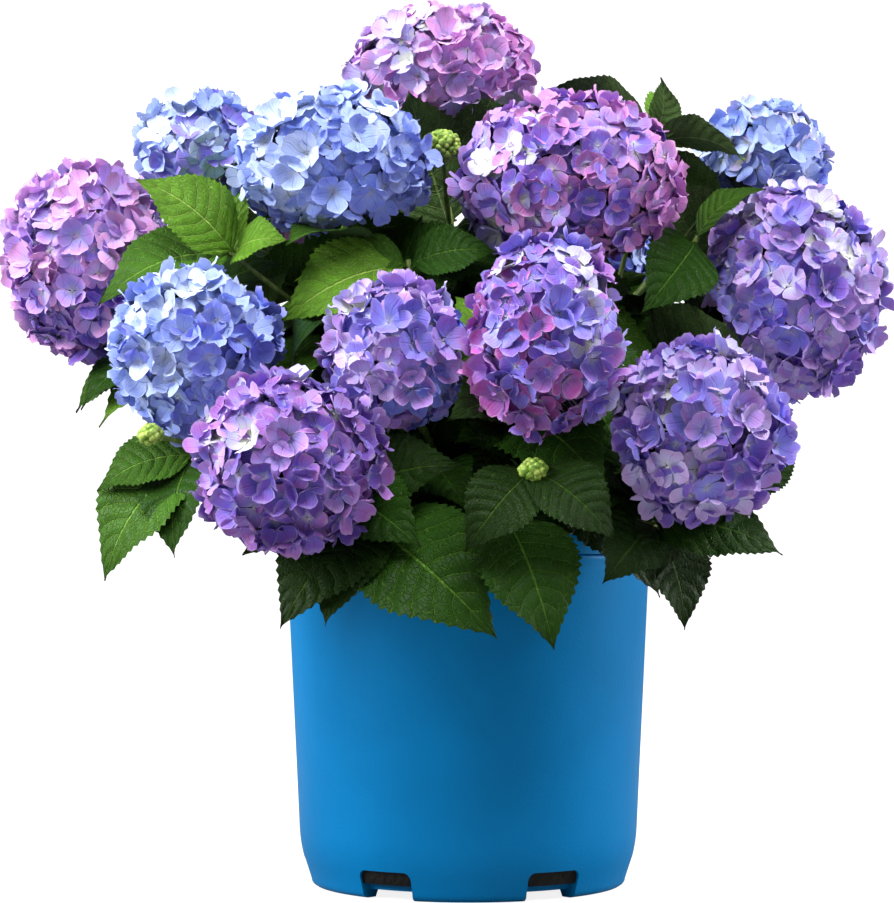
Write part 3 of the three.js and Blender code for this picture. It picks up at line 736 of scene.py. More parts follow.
def shoot_radius(start, end, joints, length):
    """Taper from start to end, with a soft swelling at each joint."""
    def radius(share, turn):
        swelling = sum(math.exp(-((share - joint) * length / JOINT_LENGTH) ** 2) for joint in joints)
        return start + (end - start) * share + JOINT_SWELLING * swelling
    return radius


def twig_path(shoot, twig):
    """The line of a side twig, which sags a little under its leaves."""
    start, end = shoot.at(twig[0]), spot(twig[1])
    bend = start.lerp(end, 0.5)
    bend.z -= TWIG_SAG * (end - start).length
    return bent(start, bend, end)


def stem_skin():
    """Smooth green stem, paler in fine lengthwise lines and speckled with small rusty pores."""
    material, tree, shader = finish("green_stem", Roughness=0.5, Specular_IOR_Level=0.4)
    place = object_place(tree)
    lines = grain(tree, stretched(tree, place, 1.0, 1.0, 0.2), 300.0, 3.0)
    specks = node(tree, "ShaderNodeTexVoronoi", {"Vector": place, "Scale": 420.0}).outputs["Distance"]
    green = mixed(tree, fade(tree, lines, 0.35, 0.65), srgb(84, 112, 44), srgb(128, 148, 76))
    colour = mixed(tree, fade(tree, specks, 0.22, 0.1), green, srgb(112, 74, 48), 0.6)
    give(tree, shader, colour, None, lines, 0.0002)
    return material


shoot_build = Build()
for head in FLOWERING_CANES:
    shoot = head["shoot"] = head["stem"].stretch(CANE_SHARE + CLEARANCE / head["stem"].length, 1)
    shoot_build.add(*tube(shoot, shoot_radius(SHOOT_RADIUS, PEDUNCLE_RADIUS, PAIR_SHARES, shoot.length),
                          SHOOT_SIDES, SHOOT_STEPS, SHOOT_OVERRUN))
    middle, end, way = spot(head["at"]), shoot.at(1), shoot.way(0.99)
    stalk = bent(end, end + way * PEDUNCLE_LEAD * (middle - end).length, middle, 40)
    shoot_build.add(*tube(stalk, lambda share, turn: PEDUNCLE_RADIUS * (1 - PEDUNCLE_TAPER * share),
                          PEDUNCLE_SIDES, PEDUNCLE_STEPS, PEDUNCLE_OVERRUN))
    for twig in head.get("twigs", ()):
        path = twig_path(shoot, twig)
        radius = shoot_radius(TWIG_RADIUS, TWIG_RADIUS * TWIG_TAPER, TWIG_JOINTS, path.length)
        shoot_build.add(*tube(path, radius, TWIG_SIDES, TWIG_STEPS))
shoots = shoot_build.shape("green_shoots", [stem_skin()], sharp_deg=80)
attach(shoots, "root")


# ---- Green buds -------------------------------------------------------------------------------
# Three flower heads haven't opened: each is a tight ball of round green buds, the size of
# peppercorns, on the end of a twig.

BUD_BEADS = 74                  # on a ball of the full radius, and fewer on a smaller one
FULL_BUD_RADIUS = 13 * MM
BUD_FLATNESS = 0.75             # height of a ball of buds against its width
BUD_INSET = 0.86                # the buds' middles, against the ball's radius
BEAD_RADIUS = 2.6 * MM
GOLDEN_ANGLE = math.pi * (3 - math.sqrt(5))
TINT_BOUNDS = (-9.0, 0.06, 0.3, 0.56, 0.8, 9.0)    # a shape's lot falls between two: its tint
TINT_COUNT = len(TINT_BOUNDS) - 1


def cluster_tree():
    """Sets small shapes close together all over a ball or an egg, each facing out, and warps them a
    little. Each is the open or the closed shape of its tint. There are five tints, the first of them
    rare, and the last the more common the further a shape lies towards the lean."""
    tints = [(f"{what} {k + 1}", kind)
             for what, kind in (("Open", "Object"), ("Closed", "Object"), ("Tint", "Material"))
             for k in range(TINT_COUNT)]
    tree, given, keys = geometry_tree("cluster", [
        ("Count", "Int"), ("Middle", "Vector"), ("Radii", "Vector"), ("Stem Way", "Vector"),
        ("Stem Side", "Float"), ("Lean", "Vector"), ("Deepest", "Float"), ("Size", "Float"),
        ("Tilt", "Float"), ("Warp", "Float"), ("Closed Share", "Float"), ("Seed", "Int")] + tints)
    asked = given.outputs

    def vectors(operation, first, second):
        made = node(tree, "ShaderNodeVectorMath", {0: first, 1: second}, operation=operation)
        return made.outputs["Value" if operation == "DOT_PRODUCT" else "Vector"]

    def scaled(vector, by):
        return node(tree, "ShaderNodeVectorMath", {0: vector, "Scale": by}, operation="SCALE").outputs[0]

    def chance(number, low=0.0, high=1.0):
        """The random number of a shape, from low to high, for one of the choices about it."""
        return random_field(tree, low, high, maths(tree, "ADD", asked["Seed"], float(number)))

    def compared(operation, first, second):
        return node(tree, "FunctionNodeCompare", {0: first, 1: second},
                    data_type="FLOAT", operation=operation).outputs[0]

    def logic(operation, first, second):
        return node(tree, "FunctionNodeBooleanMath", {0: first, 1: second}, operation=operation).outputs[0]

    index = node(tree, "GeometryNodeInputIndex").outputs[0]
    step = maths(tree, "DIVIDE", maths(tree, "ADD", index, chance(0, 0.2, 0.8)), asked["Count"])
    height = maths(tree, "MULTIPLY_ADD", step, -2.0, 1.0)
    ring = maths(tree, "SQRT", maths(tree, "SUBTRACT", 1.0, maths(tree, "MULTIPLY", height, height)))
    turn = maths(tree, "MULTIPLY_ADD", index, GOLDEN_ANGLE, chance(1, -0.12, 0.12))
    way = node(tree, "ShaderNodeCombineXYZ", {
        0: maths(tree, "MULTIPLY", ring, maths(tree, "COSINE", turn)),
        1: maths(tree, "MULTIPLY", ring, maths(tree, "SINE", turn)), 2: height}).outputs[0]
    depth = spread(tree, maths(tree, "SQRT", chance(2)), asked["Deepest"], 1.0)
    place = vectors("ADD", asked["Middle"], scaled(vectors("MULTIPLY", way, asked["Radii"]), depth))
    facing = node(tree, "FunctionNodeAlignRotationToVector",
                  {"Vector": vectors("DIVIDE", way, asked["Radii"])}, axis="Z").outputs[0]
    for axis, angle in (((0.0, 0.0, 1.0), chance(4, 0.0, WHOLE_TURN)),
                        ((1.0, 0.0, 0.0), maths(tree, "MULTIPLY", chance(3, -1.0), asked["Tilt"]))):
        by = node(tree, "FunctionNodeAxisAngleToRotation", {"Axis": axis, "Angle": angle}).outputs[0]
        facing = node(tree, "FunctionNodeRotateRotation", {0: facing, 1: by},
                      rotation_space="LOCAL").outputs[0]
    points = node(tree, "GeometryNodePoints", {"Count": asked["Count"], "Position": place}).outputs[0]
    size = maths(tree, "MULTIPLY", asked["Size"], chance(5, 0.76, 1.2))
    free = compared("GREATER_THAN", vectors("DOT_PRODUCT", way, asked["Stem Way"]), asked["Stem Side"])
    lot = maths(tree, "MULTIPLY_ADD", vectors("DOT_PRODUCT", way, asked["Lean"]), 0.35, chance(6))
    closed = compared("LESS_THAN", chance(7), asked["Closed Share"])
    now = node(tree, "GeometryNodeInputPosition").outputs[0]
    cloud = node(tree, "ShaderNodeTexNoise",
                 {"Vector": now, "Scale": 75.0, "Detail": 1.0}).outputs["Color"]
    warp = scaled(vectors("SUBTRACT", cloud, (0.5, 0.5, 0.5)), asked["Warp"])
    joined = node(tree, "GeometryNodeJoinGeometry")
    for k in reversed(range(TINT_COUNT)):
        within = logic("AND", compared("GREATER_EQUAL", lot, TINT_BOUNDS[k]),
                       compared("LESS_THAN", lot, TINT_BOUNDS[k + 1]))
        chosen = logic("AND", within, free)
        kinds = node(tree, "GeometryNodeJoinGeometry")
        for what, operation in (("Closed", "AND"), ("Open", "NIMPLY")):
            these = logic(operation, chosen, closed)
            shape = node(tree, "GeometryNodeObjectInfo", {"Object": asked[f"{what} {k + 1}"]})
            copies = node(tree, "GeometryNodeInstanceOnPoints",
                          {"Points": points, "Selection": these,
                           "Instance": shape.outputs["Geometry"], "Rotation": facing,
                           "Scale": size}).outputs[0]
            tree.links.new(copies, kinds.inputs[0])
        plain = node(tree, "GeometryNodeRealizeInstances", {0: kinds.outputs[0]}).outputs[0]
        warped = node(tree, "GeometryNodeSetPosition", {"Geometry": plain, "Offset": warp}).outputs[0]
        painted = node(tree, "GeometryNodeSetMaterial",
                       {"Geometry": warped, "Material": asked[f"Tint {k + 1}"]}).outputs[0]
        tree.links.new(painted, joined.inputs[0])
    node(tree, "NodeGroupOutput", {0: joined.outputs[0]})
    return tree, keys


def bead_shape(name, rings=4, turns=7):
    """A round bud with a shallow dimple in its top."""
    profile = [(0.0, -1.0)]
    for i in range(1, rings):
        angle = math.pi * i / rings - math.pi / 2
        profile.append((math.cos(angle), math.sin(angle)))
    profile += [(0.3, 0.96), (0.0, 0.8)]
    points, faces = lathe(profile, turns)
    build = Build()
    build.add([p - AXIS for p in points], faces)
    return build.shape(name, sharp_deg=80)


def bud_skin():
    """Waxy lime-green buds, paler in places."""
    material, tree, shader = finish("green_bud", Roughness=0.45)
    cloud = grain(tree, object_place(tree), 240.0, 2.0)
    give(tree, shader, mixed(tree, fade(tree, cloud, 0.35, 0.65), srgb(106, 146, 40), srgb(174, 200, 92)),
         None, cloud, 0.0003)
    return material


cluster, cluster_keys = cluster_tree()
bead = bead_shape("bead")
bud_material = bud_skin()
for head in FLOWERING_CANES:
    for twig in head.get("twigs", ()):
        if not isinstance(twig[2], int):
            continue
        radius = twig[2] * MM
        path = twig_path(head["shoot"], twig)
        values = {"Count": int(BUD_BEADS * (radius / FULL_BUD_RADIUS) ** 1.4), "Middle": spot(twig[1]),
                  "Radii": Vector((radius, radius, BUD_FLATNESS * radius)) * BUD_INSET,
                  "Stem Way": -path.way(0.99), "Stem Side": -2.0, "Lean": (0.0, 0.0, 0.0),
                  "Deepest": 0.86, "Size": BEAD_RADIUS, "Tilt": 0.3, "Warp": 0.0,
                  "Closed Share": 0.0, "Seed": 20}
        values.update({f"Open {k + 1}": bead for k in range(TINT_COUNT)})
        values.update({f"Tint {k + 1}": bud_material for k in range(TINT_COUNT)})
        buds = grown(f"green_buds_{head['name']}", cluster, cluster_keys, values)
        buds.data.shade_smooth()
        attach(buds, "root")
bpy.data.objects.remove(bead)


# ---- Leaves -----------------------------------------------------------------------------------
# Broad pointed leaves with toothed margins, in pairs up every shoot and at the ends of the twigs.
# They are satin green above and paler below, with sunken veins, and turn their faces to the light.

SEED = 11
HEAD_DRAWS = 32                 # random numbers that the solid model spends on each flower head
LEAF_WIDTH_SHARE = 0.62
LEAF_ARCH = 0.16
LEAF_FOLD = 0.14
LEAF_ROWS = ((0.38, 1), (0.74, 0.62))    # how far along, and how wide there
LEAF_ROOT = 0.3 * MM            # a leaf's heel is sunk this far past its stem's middle
OUTWARD_LEAN = 0.9              # how far leaves face outwards, against upwards
TWIG_LEAF_SETBACK = 4 * MM      # leaves spring from a twig this far before its end
LEAF_PAIRS = ((0.18, 94), (0.56, 98), (0.92, 90))    # share of the shoot's length, and millimetres
PAIR_CLIMB = (-12, 28)
PAIR_SPREAD = (0.85, 1.1)
INNER_PAIRS = ((0.02, 78), (0.1, 80), (0.28, 76), (0.37, 84), (0.74, 80))
INNER_CLIMB = (-10, 30)
INNER_SPREAD = (0.8, 1.1)
LEAF_TRIES = [(turn, tilt) for turn in (0, 12, -12, 24, -24, 38, -38, 54, -54, 70, -70)
              for tilt in (0, 16, -16, -32, 32, 50)]
LEAF_SIZES = (1, 0.8, 0.62)
INNER_SIZES = LEAF_SIZES + (0.46,)
LEAF_STEPS = 40                 # every second step is a tooth's tip
BLADE_WIDTH_SHARE = 0.68        # fuller than in the solid model, which keeps room between leaves
FRONT_TURN = 0.7                # how far the front leaves' faces turn to the front
LEAF_COLUMNS = (-1, -0.52, 0, 0.52, 1)
LEAF_SHEET = 0.5 * MM
TOOTH_TIP, TOOTH_NOTCH = 0.04, -0.035    # past the plain margin, as shares of half the width
TOOTH_LEAN = 0.011              # a tooth's tip points this far towards the leaf's tip
RIPPLE = 0.012
MIDRIB_DIP = 0.35 * MM
MIDRIB_KEEL = 0.6 * MM          # the midrib stands out this far below
STALK_SHARE = 0.07
STALK_RADIUS = 1.3 * MM
TOOTHED_FROM, TOOTHED_TO = STALK_SHARE + 0.05, 0.93    # shares of the leaf's length
SAME_PLACE = 0.5 * MM
# Lit and shaded copies of one green, dealt out by where a leaf sits: painted light and painted shade.
LEAF_TINTS = {"painted_sunlit": ((104, 158, 40), (154, 192, 84)), "green": ((64, 110, 26), (110, 152, 58)),
              "deep": ((40, 80, 16), (80, 122, 38)), "shade": ((28, 56, 10), (60, 92, 26))}
UNDERSIDE = ((78, 110, 54), (124, 150, 88))
LIGHT_BOUNDS = (0.2, -0.02, -0.35)    # light needed for the first, second and third of the tints

random_state = SEED


def drawn(low, high):
    """The solid model's own random numbers, in the same order."""
    global random_state
    random_state = (random_state * 1664525 + 1013904223) % 4294967296
    return low + (high - low) * random_state / 4294967296


class Leaf:
    """Where a leaf is: its heel, the three ways along, across and up, and its length."""

    def __init__(self, heel, heading, climb, length):
        self.heel, self.length = heel, length
        heading, climb = math.radians(heading), math.radians(climb)
        self.forward = Vector((math.cos(climb) * math.cos(heading),
                               math.cos(climb) * math.sin(heading), math.sin(climb)))
        out = Vector((heel.x - AXIS.x, heel.y - AXIS.y, 0)).normalized() * OUTWARD_LEAN
        self.sideways = (out + Vector((0, 0, 1))).cross(self.forward)
        if self.sideways.length < 0.2:
            self.sideways = Vector((-math.sin(heading), math.cos(heading), 0))
        self.sideways.normalize()
        self.upward = self.forward.cross(self.sideways)

    def face_front(self):
        """Turns the leaf about its midrib, so that its face looks to the front as well as upwards."""
        light = self.upward + Vector((0, -FRONT_TURN, 0))
        self.sideways = light.cross(self.forward).normalized()
        self.upward = self.forward.cross(self.sideways)

    def point(self, along, across, lift):
        """A point of the leaf, given by its share of the length, in the leaf's own arched plane."""
        arch = LEAF_ARCH * self.length * (1 - (2 * along - 1) ** 2)
        return (self.heel + self.forward * (along * self.length - LEAF_ROOT)
                + self.sideways * across + self.upward * (arch + lift))

    def landmarks(self):
        """Its tip and the two corners where the solid leaf is widest."""
        half = self.length * LEAF_WIDTH_SHARE / 2
        return [self.point(1, 0, 0), self.point(LEAF_ROWS[0][0], half, LEAF_FOLD * half),
                self.point(LEAF_ROWS[0][0], -half, LEAF_FOLD * half)]

    def outer_part(self):
        """Its plain outline from a quarter of the way on, for testing whether there is room."""
        half = self.length * LEAF_WIDTH_SHARE / 2
        corners = [self.point(0.25, 0, 0)]
        for along, share in LEAF_ROWS:
            corners += [self.point(along, half * share, LEAF_FOLD * half),
                        self.point(along, 0, 0), self.point(along, -half * share, LEAF_FOLD * half)]
        corners.append(self.point(1, 0, 0))
        faces = [(0, 2, 1), (0, 3, 2), (1, 2, 5, 4), (2, 3, 6, 5), (4, 5, 7), (5, 6, 7)]
        return BVHTree.FromPolygons(corners, faces)


def rule_leaf(known, heel, heading, climb, length):
    """The first of the solid model's tries that the solid model itself settled on, or None."""
    for share in LEAF_SIZES:
        for turn, tilt in LEAF_TRIES:
            leaf = Leaf(heel, heading + turn, climb + tilt, length * share * MM)
            if all(known.find(mark)[2] < SAME_PLACE for mark in leaf.landmarks()):
                return leaf
    return None


def points_of(thing):
    tree = KDTree(len(thing.data.vertices))
    for k, vertex in enumerate(thing.data.vertices):
        tree.insert(vertex.co, k)
    tree.balance()
    return tree


for _ in range(HEAD_DRAWS * len(FLOWERING_CANES)):
    drawn(0, 1)
leaves = []
for head in FLOWERING_CANES:
    head["known"] = points_of(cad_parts[f"leafy_shoot_{head['name']}"])
    for twig in head.get("twigs", ()):
        path = twig_path(head["shoot"], twig)
        heel = path.at(1 - TWIG_LEAF_SETBACK / path.length)
        asked = next((part for part in twig[2:] if isinstance(part, list)), [])
        leaves += [rule_leaf(head["known"], heel, *leaf) for leaf in asked]
for head in FLOWERING_CANES:
    head["first_turn"] = drawn(0, 180)
    for pair, (share, length) in enumerate(LEAF_PAIRS):
        for side in (0, 180):
            climb, size = drawn(*PAIR_CLIMB), drawn(*PAIR_SPREAD)
            leaves.append(rule_leaf(head["known"], head["shoot"].at(share),
                                    head["first_turn"] + 90 * pair + side, climb, length * size))
asked_leaves = len(leaves)
leaves = [leaf for leaf in leaves if leaf]
print(f"leaves found in the frame: {len(leaves)} of {asked_leaves}")

# The inner leaves fill what room is left between the solid model's leaves, on the same shoots.
taken = [BVHTree.FromPolygons([v.co for v in thing.data.vertices],
                              [tuple(p.vertices) for p in thing.data.polygons])
         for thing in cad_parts.values()]
for head in FLOWERING_CANES:
    for pair, (share, length) in enumerate(INNER_PAIRS):
        for side in (0, 180):
            heading = head["first_turn"] + 45 + 90 * pair + side
            climb, length_now = drawn(*INNER_CLIMB), length * drawn(*INNER_SPREAD)
            tries = [(size, turn, tilt) for size in INNER_SIZES for turn, tilt in LEAF_TRIES]
            for size, turn, tilt in tries:
                leaf = Leaf(head["shoot"].at(share), heading + turn, climb + tilt,
                            length_now * size * MM)
                outline = leaf.outer_part()
                if not any(outline.overlap(other) for other in taken):
                    leaves.append(leaf)
                    taken.append(outline)
                    break
print(f"leaves in all: {len(leaves)}")


def half_width(along, length):
    """Half the width of the leaf at a share of its length: a stalk, then an egg with a drawn-out tip."""
    if along <= STALK_SHARE:
        return STALK_RADIUS
    blade = (along - STALK_SHARE) / (1 - STALK_SHARE)
    egg = math.sin(math.pi * blade ** 0.7) ** (0.7 + 0.6 * blade)
    return max(STALK_RADIUS * (1 - blade), BLADE_WIDTH_SHARE / 2 * length * egg)


def leaf_mesh(leaf, wave):
    """Points and faces of the upper and lower skins, joined at the toothed margin, their maps, and
    how many of the faces are the upper skin's."""
    columns = len(LEAF_COLUMNS)
    upper, lower, places = [], [], []
    for i in range(LEAF_STEPS + 1):
        along = i / LEAF_STEPS
        half = half_width(min(along, 0.998), leaf.length)
        for k, share in enumerate(LEAF_COLUMNS):
            margin, midrib = abs(share) == 1, share == 0
            toothed = margin and TOOTHED_FROM < along < TOOTHED_TO
            tooth = (TOOTH_TIP if i % 2 == 0 else TOOTH_NOTCH) if toothed else 0
            across = half * share * (1 + tooth)
            fold = LEAF_FOLD * half * abs(share) ** 1.4
            ripple = RIPPLE * leaf.length * share ** 2 * math.sin(wave + 19 * along + 2 * share)
            valley = -MIDRIB_DIP if midrib and along > STALK_SHARE else 0
            shift = TOOTH_LEAN if toothed and i % 2 == 0 else 0
            thick = 0 if margin else LEAF_SHEET / 2
            upper.append(leaf.point(along + shift, across, fold + ripple + valley + thick))
            lower.append(leaf.point(along + shift, across, fold + ripple + valley * 0.3 - thick
                                    - (MIDRIB_KEEL if midrib else 0)))
            places.append((along, 0.5 + 0.5 * share))
    points = upper + lower
    count = len(upper)

    def under(index):
        """The lower skin shares its outermost points with the upper one."""
        return index if index % columns in (0, columns - 1) else index + count

    first_corners = [i * columns + k for i in range(LEAF_STEPS) for k in range(columns - 1)]
    above = [(a, a + columns, a + columns + 1, a + 1) for a in first_corners]
    below = [(a, a + 1, a + columns + 1, a + columns) for a in first_corners]
    maps = [[places[c] for c in quad] for quad in above + below]
    return points, above + [tuple(under(c) for c in quad) for quad in below], maps, len(above)


def tile(places, number, columns, rows):
    """Moves map places, from 0 to 1 each way, into one tile of a sheet of tiles, inside its edges."""
    left, low = number % columns, number // columns
    return [((left + 0.04 + 0.92 * u) / columns, (low + 0.04 + 0.92 * v) / rows) for u, v in places]


def leaf_skin(name, body, vein, roughness, sunken):
    """Leaf surface: a pale midrib, side veins that curve to the tip, and puckered green between,
    with painted shade in the furrows by the veins and painted light on the swells.
    """
    material, tree, shader = finish(name, Roughness=roughness, Specular_IOR_Level=0.11)
    place = node(tree, "ShaderNodeUVMap", uv_map="leaf_map").outputs[0]
    apart = node(tree, "ShaderNodeSeparateXYZ", {0: place})
    along, across = apart.outputs[0], apart.outputs[1]
    side = maths(tree, "ABSOLUTE", maths(tree, "MULTIPLY_ADD", across, 2.0, -1.0))
    wobble = grain(tree, place, 7.0, 3.0)
    bend = maths(tree, "MULTIPLY", maths(tree, "POWER", side, 1.3), -1.7)
    rank = maths(tree, "ADD", maths(tree, "MULTIPLY_ADD", along, 9.0, bend),
                 maths(tree, "MULTIPLY", wobble, 0.3))
    off = maths(tree, "ABSOLUTE", maths(tree, "SUBTRACT", maths(tree, "FRACT", rank), 0.5))
    side_vein = fade(tree, off, 0.06, 0.0)
    swell = fade(tree, off, 0.0, 0.42)
    midrib = fade(tree, side, 0.042, 0.012)
    net = fade(tree, node(tree, "ShaderNodeTexVoronoi",
                          {"Vector": place, "Scale": 26.0}, feature="DISTANCE_TO_EDGE").outputs[0],
               0.1, 0.0)
    lines = maths(tree, "MAXIMUM", midrib, maths(tree, "MULTIPLY", side_vein, 0.75))
    mottle = grain(tree, place, 3.5, 4.0)
    dark = tuple(0.62 * c for c in body[:3]) + (1.0,)
    green = mixed(tree, fade(tree, mottle, 0.3, 0.7), dark, body)
    # Painted shade: darker in the furrows along the side veins, lighter on the swells between them.
    pucker_painted_shade = mixed(tree, swell, dark, green, 0.35)
    green = mixed(tree, 0.6, green, pucker_painted_shade)
    netted = mixed(tree, net, green, vein, 0.38)
    give(tree, shader, mixed(tree, lines, netted, vein), None,
         maths(tree, "MULTIPLY_ADD", lines, sunken,
               maths(tree, "MULTIPLY_ADD", swell, 0.45, maths(tree, "MULTIPLY", net, sunken * 0.5))),
         0.0017)
    return material


leaf_materials = [leaf_skin(f"leaf_{name}", srgb(*body), srgb(*vein), 0.48, -0.8)
                  for name, (body, vein) in LEAF_TINTS.items()]
leaf_materials.append(leaf_skin("leaf_underside", srgb(*UNDERSIDE[0]), srgb(*UNDERSIDE[1]), 0.65, 0.8))


def leaf_tint(leaf, number):
    """Leaves out in the light on the upper left get the palest green, as painted light, and those
    low down get the darkest, as painted shade.
    """
    tip = leaf.point(0.6, 0, 0) - AXIS
    light = (3.2 * (tip.z - 0.36) - 0.8 * tip.x + 0.9 * (tip.xy.length - 0.15)
             + 0.3 * math.sin(5 * number))
    return sum(light < bound for bound in LIGHT_BOUNDS)


leaf_build = Build()
for number, leaf in enumerate(leaves):
    if leaf.heel.y < AXIS.y:
        leaf.face_front()
    points, faces, maps, skin = leaf_mesh(leaf, number * 1.7)
    tint = leaf_tint(leaf, number)
    last = len(LEAF_TINTS)
    leaf_build.add(points, faces, [tint] * skin + [last] * skin, maps,
                   [tile(place, tint if k < skin else last, 3, 2) for k, place in enumerate(maps)])
foliage = leaf_build.shape("leaves", leaf_materials, "leaf_map", sharp_deg=75)
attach(foliage, "root")
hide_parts(*(f"leafy_shoot_{head['name']}" for head in FLOWERING_CANES))


# ---- Flower heads -----------------------------------------------------------------------------
# Each mophead is a ball of some 120 to 350 blossoms round a dark heart, a ball painted in shade
# and in the dull green of fine stalks. A blossom is four rounded sepals round a bead, veined and
# cupped, in one of the five tints of its head.

BLOSSOM_RADIUS = 11.2 * MM
BLOSSOM_SPACING = 10.8 * MM     # one blossom for each square of this side on the ball
BLOSSOM_WARP = 7 * MM
HEAD_INSET = 8 * MM             # blossoms reach this much past the ball they sit on
STEM_SIDE = -0.8                # no blossoms nearer the stem than this cosine
DEEPEST_SHARE = 0.8             # how deep blossoms sit, against the ball's radius
CLOSED_SHARE = 0.36             # of the blossoms are half open
HEART_SHARE = 0.74
BALL_STEP_DEG = 15
BALL_TURNS = 24
SEPAL_FOOT = 0.04
SEPAL_ROWS = ((0.26, 0.28), (0.5, 0.5), (0.74, 0.56), (0.92, 0.42), (1.01, 0.18))  # along, half width
OPEN_RISE, OPEN_CUP, OPEN_FOLD = 0.1, 0.12, -0.1
CLOSED_RISE, CLOSED_CUP, CLOSED_FOLD = 0.36, 0.3, 0.16
TINTS = {                       # a sepal's colour at its foot and at its edge
    "milky": ((212, 216, 194), (187, 180, 239)),
    "ice": ((208, 221, 247), (186, 204, 249)), "pale blue": ((188, 206, 248), (164, 185, 249)),
    "sky": ((168, 192, 250), (144, 163, 244)), "cornflower": ((142, 160, 242), (126, 134, 232)),
    "periwinkle": ((148, 150, 240), (138, 120, 220)), "violet": ((124, 112, 216), (132, 92, 196)),
    "deep violet": ((98, 84, 190), (112, 70, 168)), "pale lilac": ((198, 193, 241), (199, 167, 231)),
    "lilac": ((172, 160, 238), (184, 139, 222)), "mauve": ((148, 120, 210), (168, 106, 194)),
    "pink lilac": ((202, 178, 236), (220, 158, 220)), "orchid": ((182, 142, 218), (206, 130, 200)),
    "magenta": ((156, 102, 188), (172, 76, 166)),
}
PALE_FOOT = (212, 216, 210)


def sepal(turn, rise, cup, fold):
    """One sepal, a unit long: a rounded spade that narrows to its foot, cupped and folded a little."""
    flat = [(SEPAL_FOOT, 0.0, 0.0)]
    for along, half in SEPAL_ROWS:
        flat += [(along - 0.05 * along, -half, -1), (along, 0.0, 0), (along - 0.05 * along, half, 1)]
    points = [Vector((along * math.cos(turn) - across * math.sin(turn),
                      along * math.sin(turn) + across * math.cos(turn),
                      rise * along + cup * along ** 2 + (fold + 0.05 * share) * share ** 2 * along))
              for along, across, share in flat]
    faces = [(0, 1, 2), (0, 2, 3)]
    for row in range(len(SEPAL_ROWS) - 1):
        for k in (1 + 3 * row, 2 + 3 * row):
            faces.append((k, k + 3, k + 4, k + 1))
    maps = [[(flat[c][0], 0.5 + 0.5 * flat[c][2]) for c in face] for face in faces]
    return points, faces, maps


def ring_of(count, radius, z):
    """Points evenly round a circle at a height."""
    return [Vector((radius * math.cos(2 * math.pi * k / count),
                    radius * math.sin(2 * math.pi * k / count), z)) for k in range(count)]


def blossom_shape(name, number, rise, cup, fold):
    """Four overlapping sepals, a bead in the middle and a three-sided stalk underneath."""
    build = Build()
    for k in range(4):
        turn = k * math.pi / 2 + 0.12 * math.sin(2.3 * k)
        points, faces, maps = sepal(turn, rise + 0.07 * (k % 2), cup, fold)
        build.add(points, faces, 0, maps, [tile(place, number, 3, 2) for place in maps])
    bead_points = [Vector((0, 0, 0.2))] + ring_of(4, 0.1, 0.02)
    bead_faces = [(0, 1 + k, 1 + (k + 1) % 4) for k in range(4)]
    stalk_points = ring_of(3, 0.05, 0.02) + ring_of(3, 0.05, -0.9)
    stalk_faces = [(k, 3 + k, 3 + (k + 1) % 3, (k + 1) % 3) for k in range(3)]
    for points, faces, place in ((bead_points, bead_faces, (0.02, 0.5)),
                                 (stalk_points, stalk_faces, (0.0, 0.1))):
        maps = [[place] * len(face) for face in faces]
        build.add(points, faces, 0, maps, [tile(spots, number, 3, 2) for spots in maps])
    return build.shape(name, (), "sepal_map", sharp_deg=120)


def sepal_skin(name, inner, outer):
    """Sepal surface: a pale foot, one hue near it and another farther out, a paler margin, faint
    veins that fan out, and a soft velvet sheen."""
    material, tree, shader = finish(f"tint_{name.replace(' ', '_')}", Roughness=0.58,
                                    Specular_IOR_Level=0.3, Sheen_Weight=0.15, Sheen_Roughness=0.4)
    place = node(tree, "ShaderNodeUVMap", uv_map="sepal_map").outputs[0]
    apart = node(tree, "ShaderNodeSeparateXYZ", {0: place})
    along, across = apart.outputs[0], apart.outputs[1]
    side = maths(tree, "MULTIPLY_ADD", across, 2.0, -1.0)
    wander = maths(tree, "MULTIPLY", grain(tree, place, 5.0, 2.0), 0.9)
    fan = maths(tree, "FRACT", maths(tree, "MULTIPLY_ADD", side, 3.5, wander))
    vein = fade(tree, maths(tree, "ABSOLUTE", maths(tree, "SUBTRACT", fan, 0.5)), 0.16, 0.0)
    aside = maths(tree, "ABSOLUTE", side)
    lines = maths(tree, "MAXIMUM", fade(tree, aside, 0.1, 0.02), maths(tree, "MULTIPLY", vein, 0.7))
    margin = fade(tree, maths(tree, "MAXIMUM", along, aside), 0.82, 1.0)
    cloud = grain(tree, place, 3.0, 3.0)
    rim = srgb(*outer)
    deep = tuple(0.6 * c for c in rim[:3]) + (1.0,)
    pale = tuple(c + 0.4 * (1 - c) for c in rim[:3]) + (1.0,)
    far = maths(tree, "MULTIPLY_ADD", cloud, 0.7, along)
    base = mixed(tree, fade(tree, far, 0.65, 1.25), srgb(*inner), rim)
    veined = mixed(tree, lines, base, deep, 0.38)
    edged = mixed(tree, margin, veined, pale, 0.42)
    footed = mixed(tree, fade(tree, along, 0.4, 0.08), edged, srgb(*PALE_FOOT), 0.55)
    bead_colour = mixed(tree, 0.4, pale, srgb(196, 206, 170))
    give(tree, shader, mixed(tree, fade(tree, along, 0.045, 0.03), footed, bead_colour), None,
         maths(tree, "MULTIPLY", lines, -1.0), 0.00018)
    return material


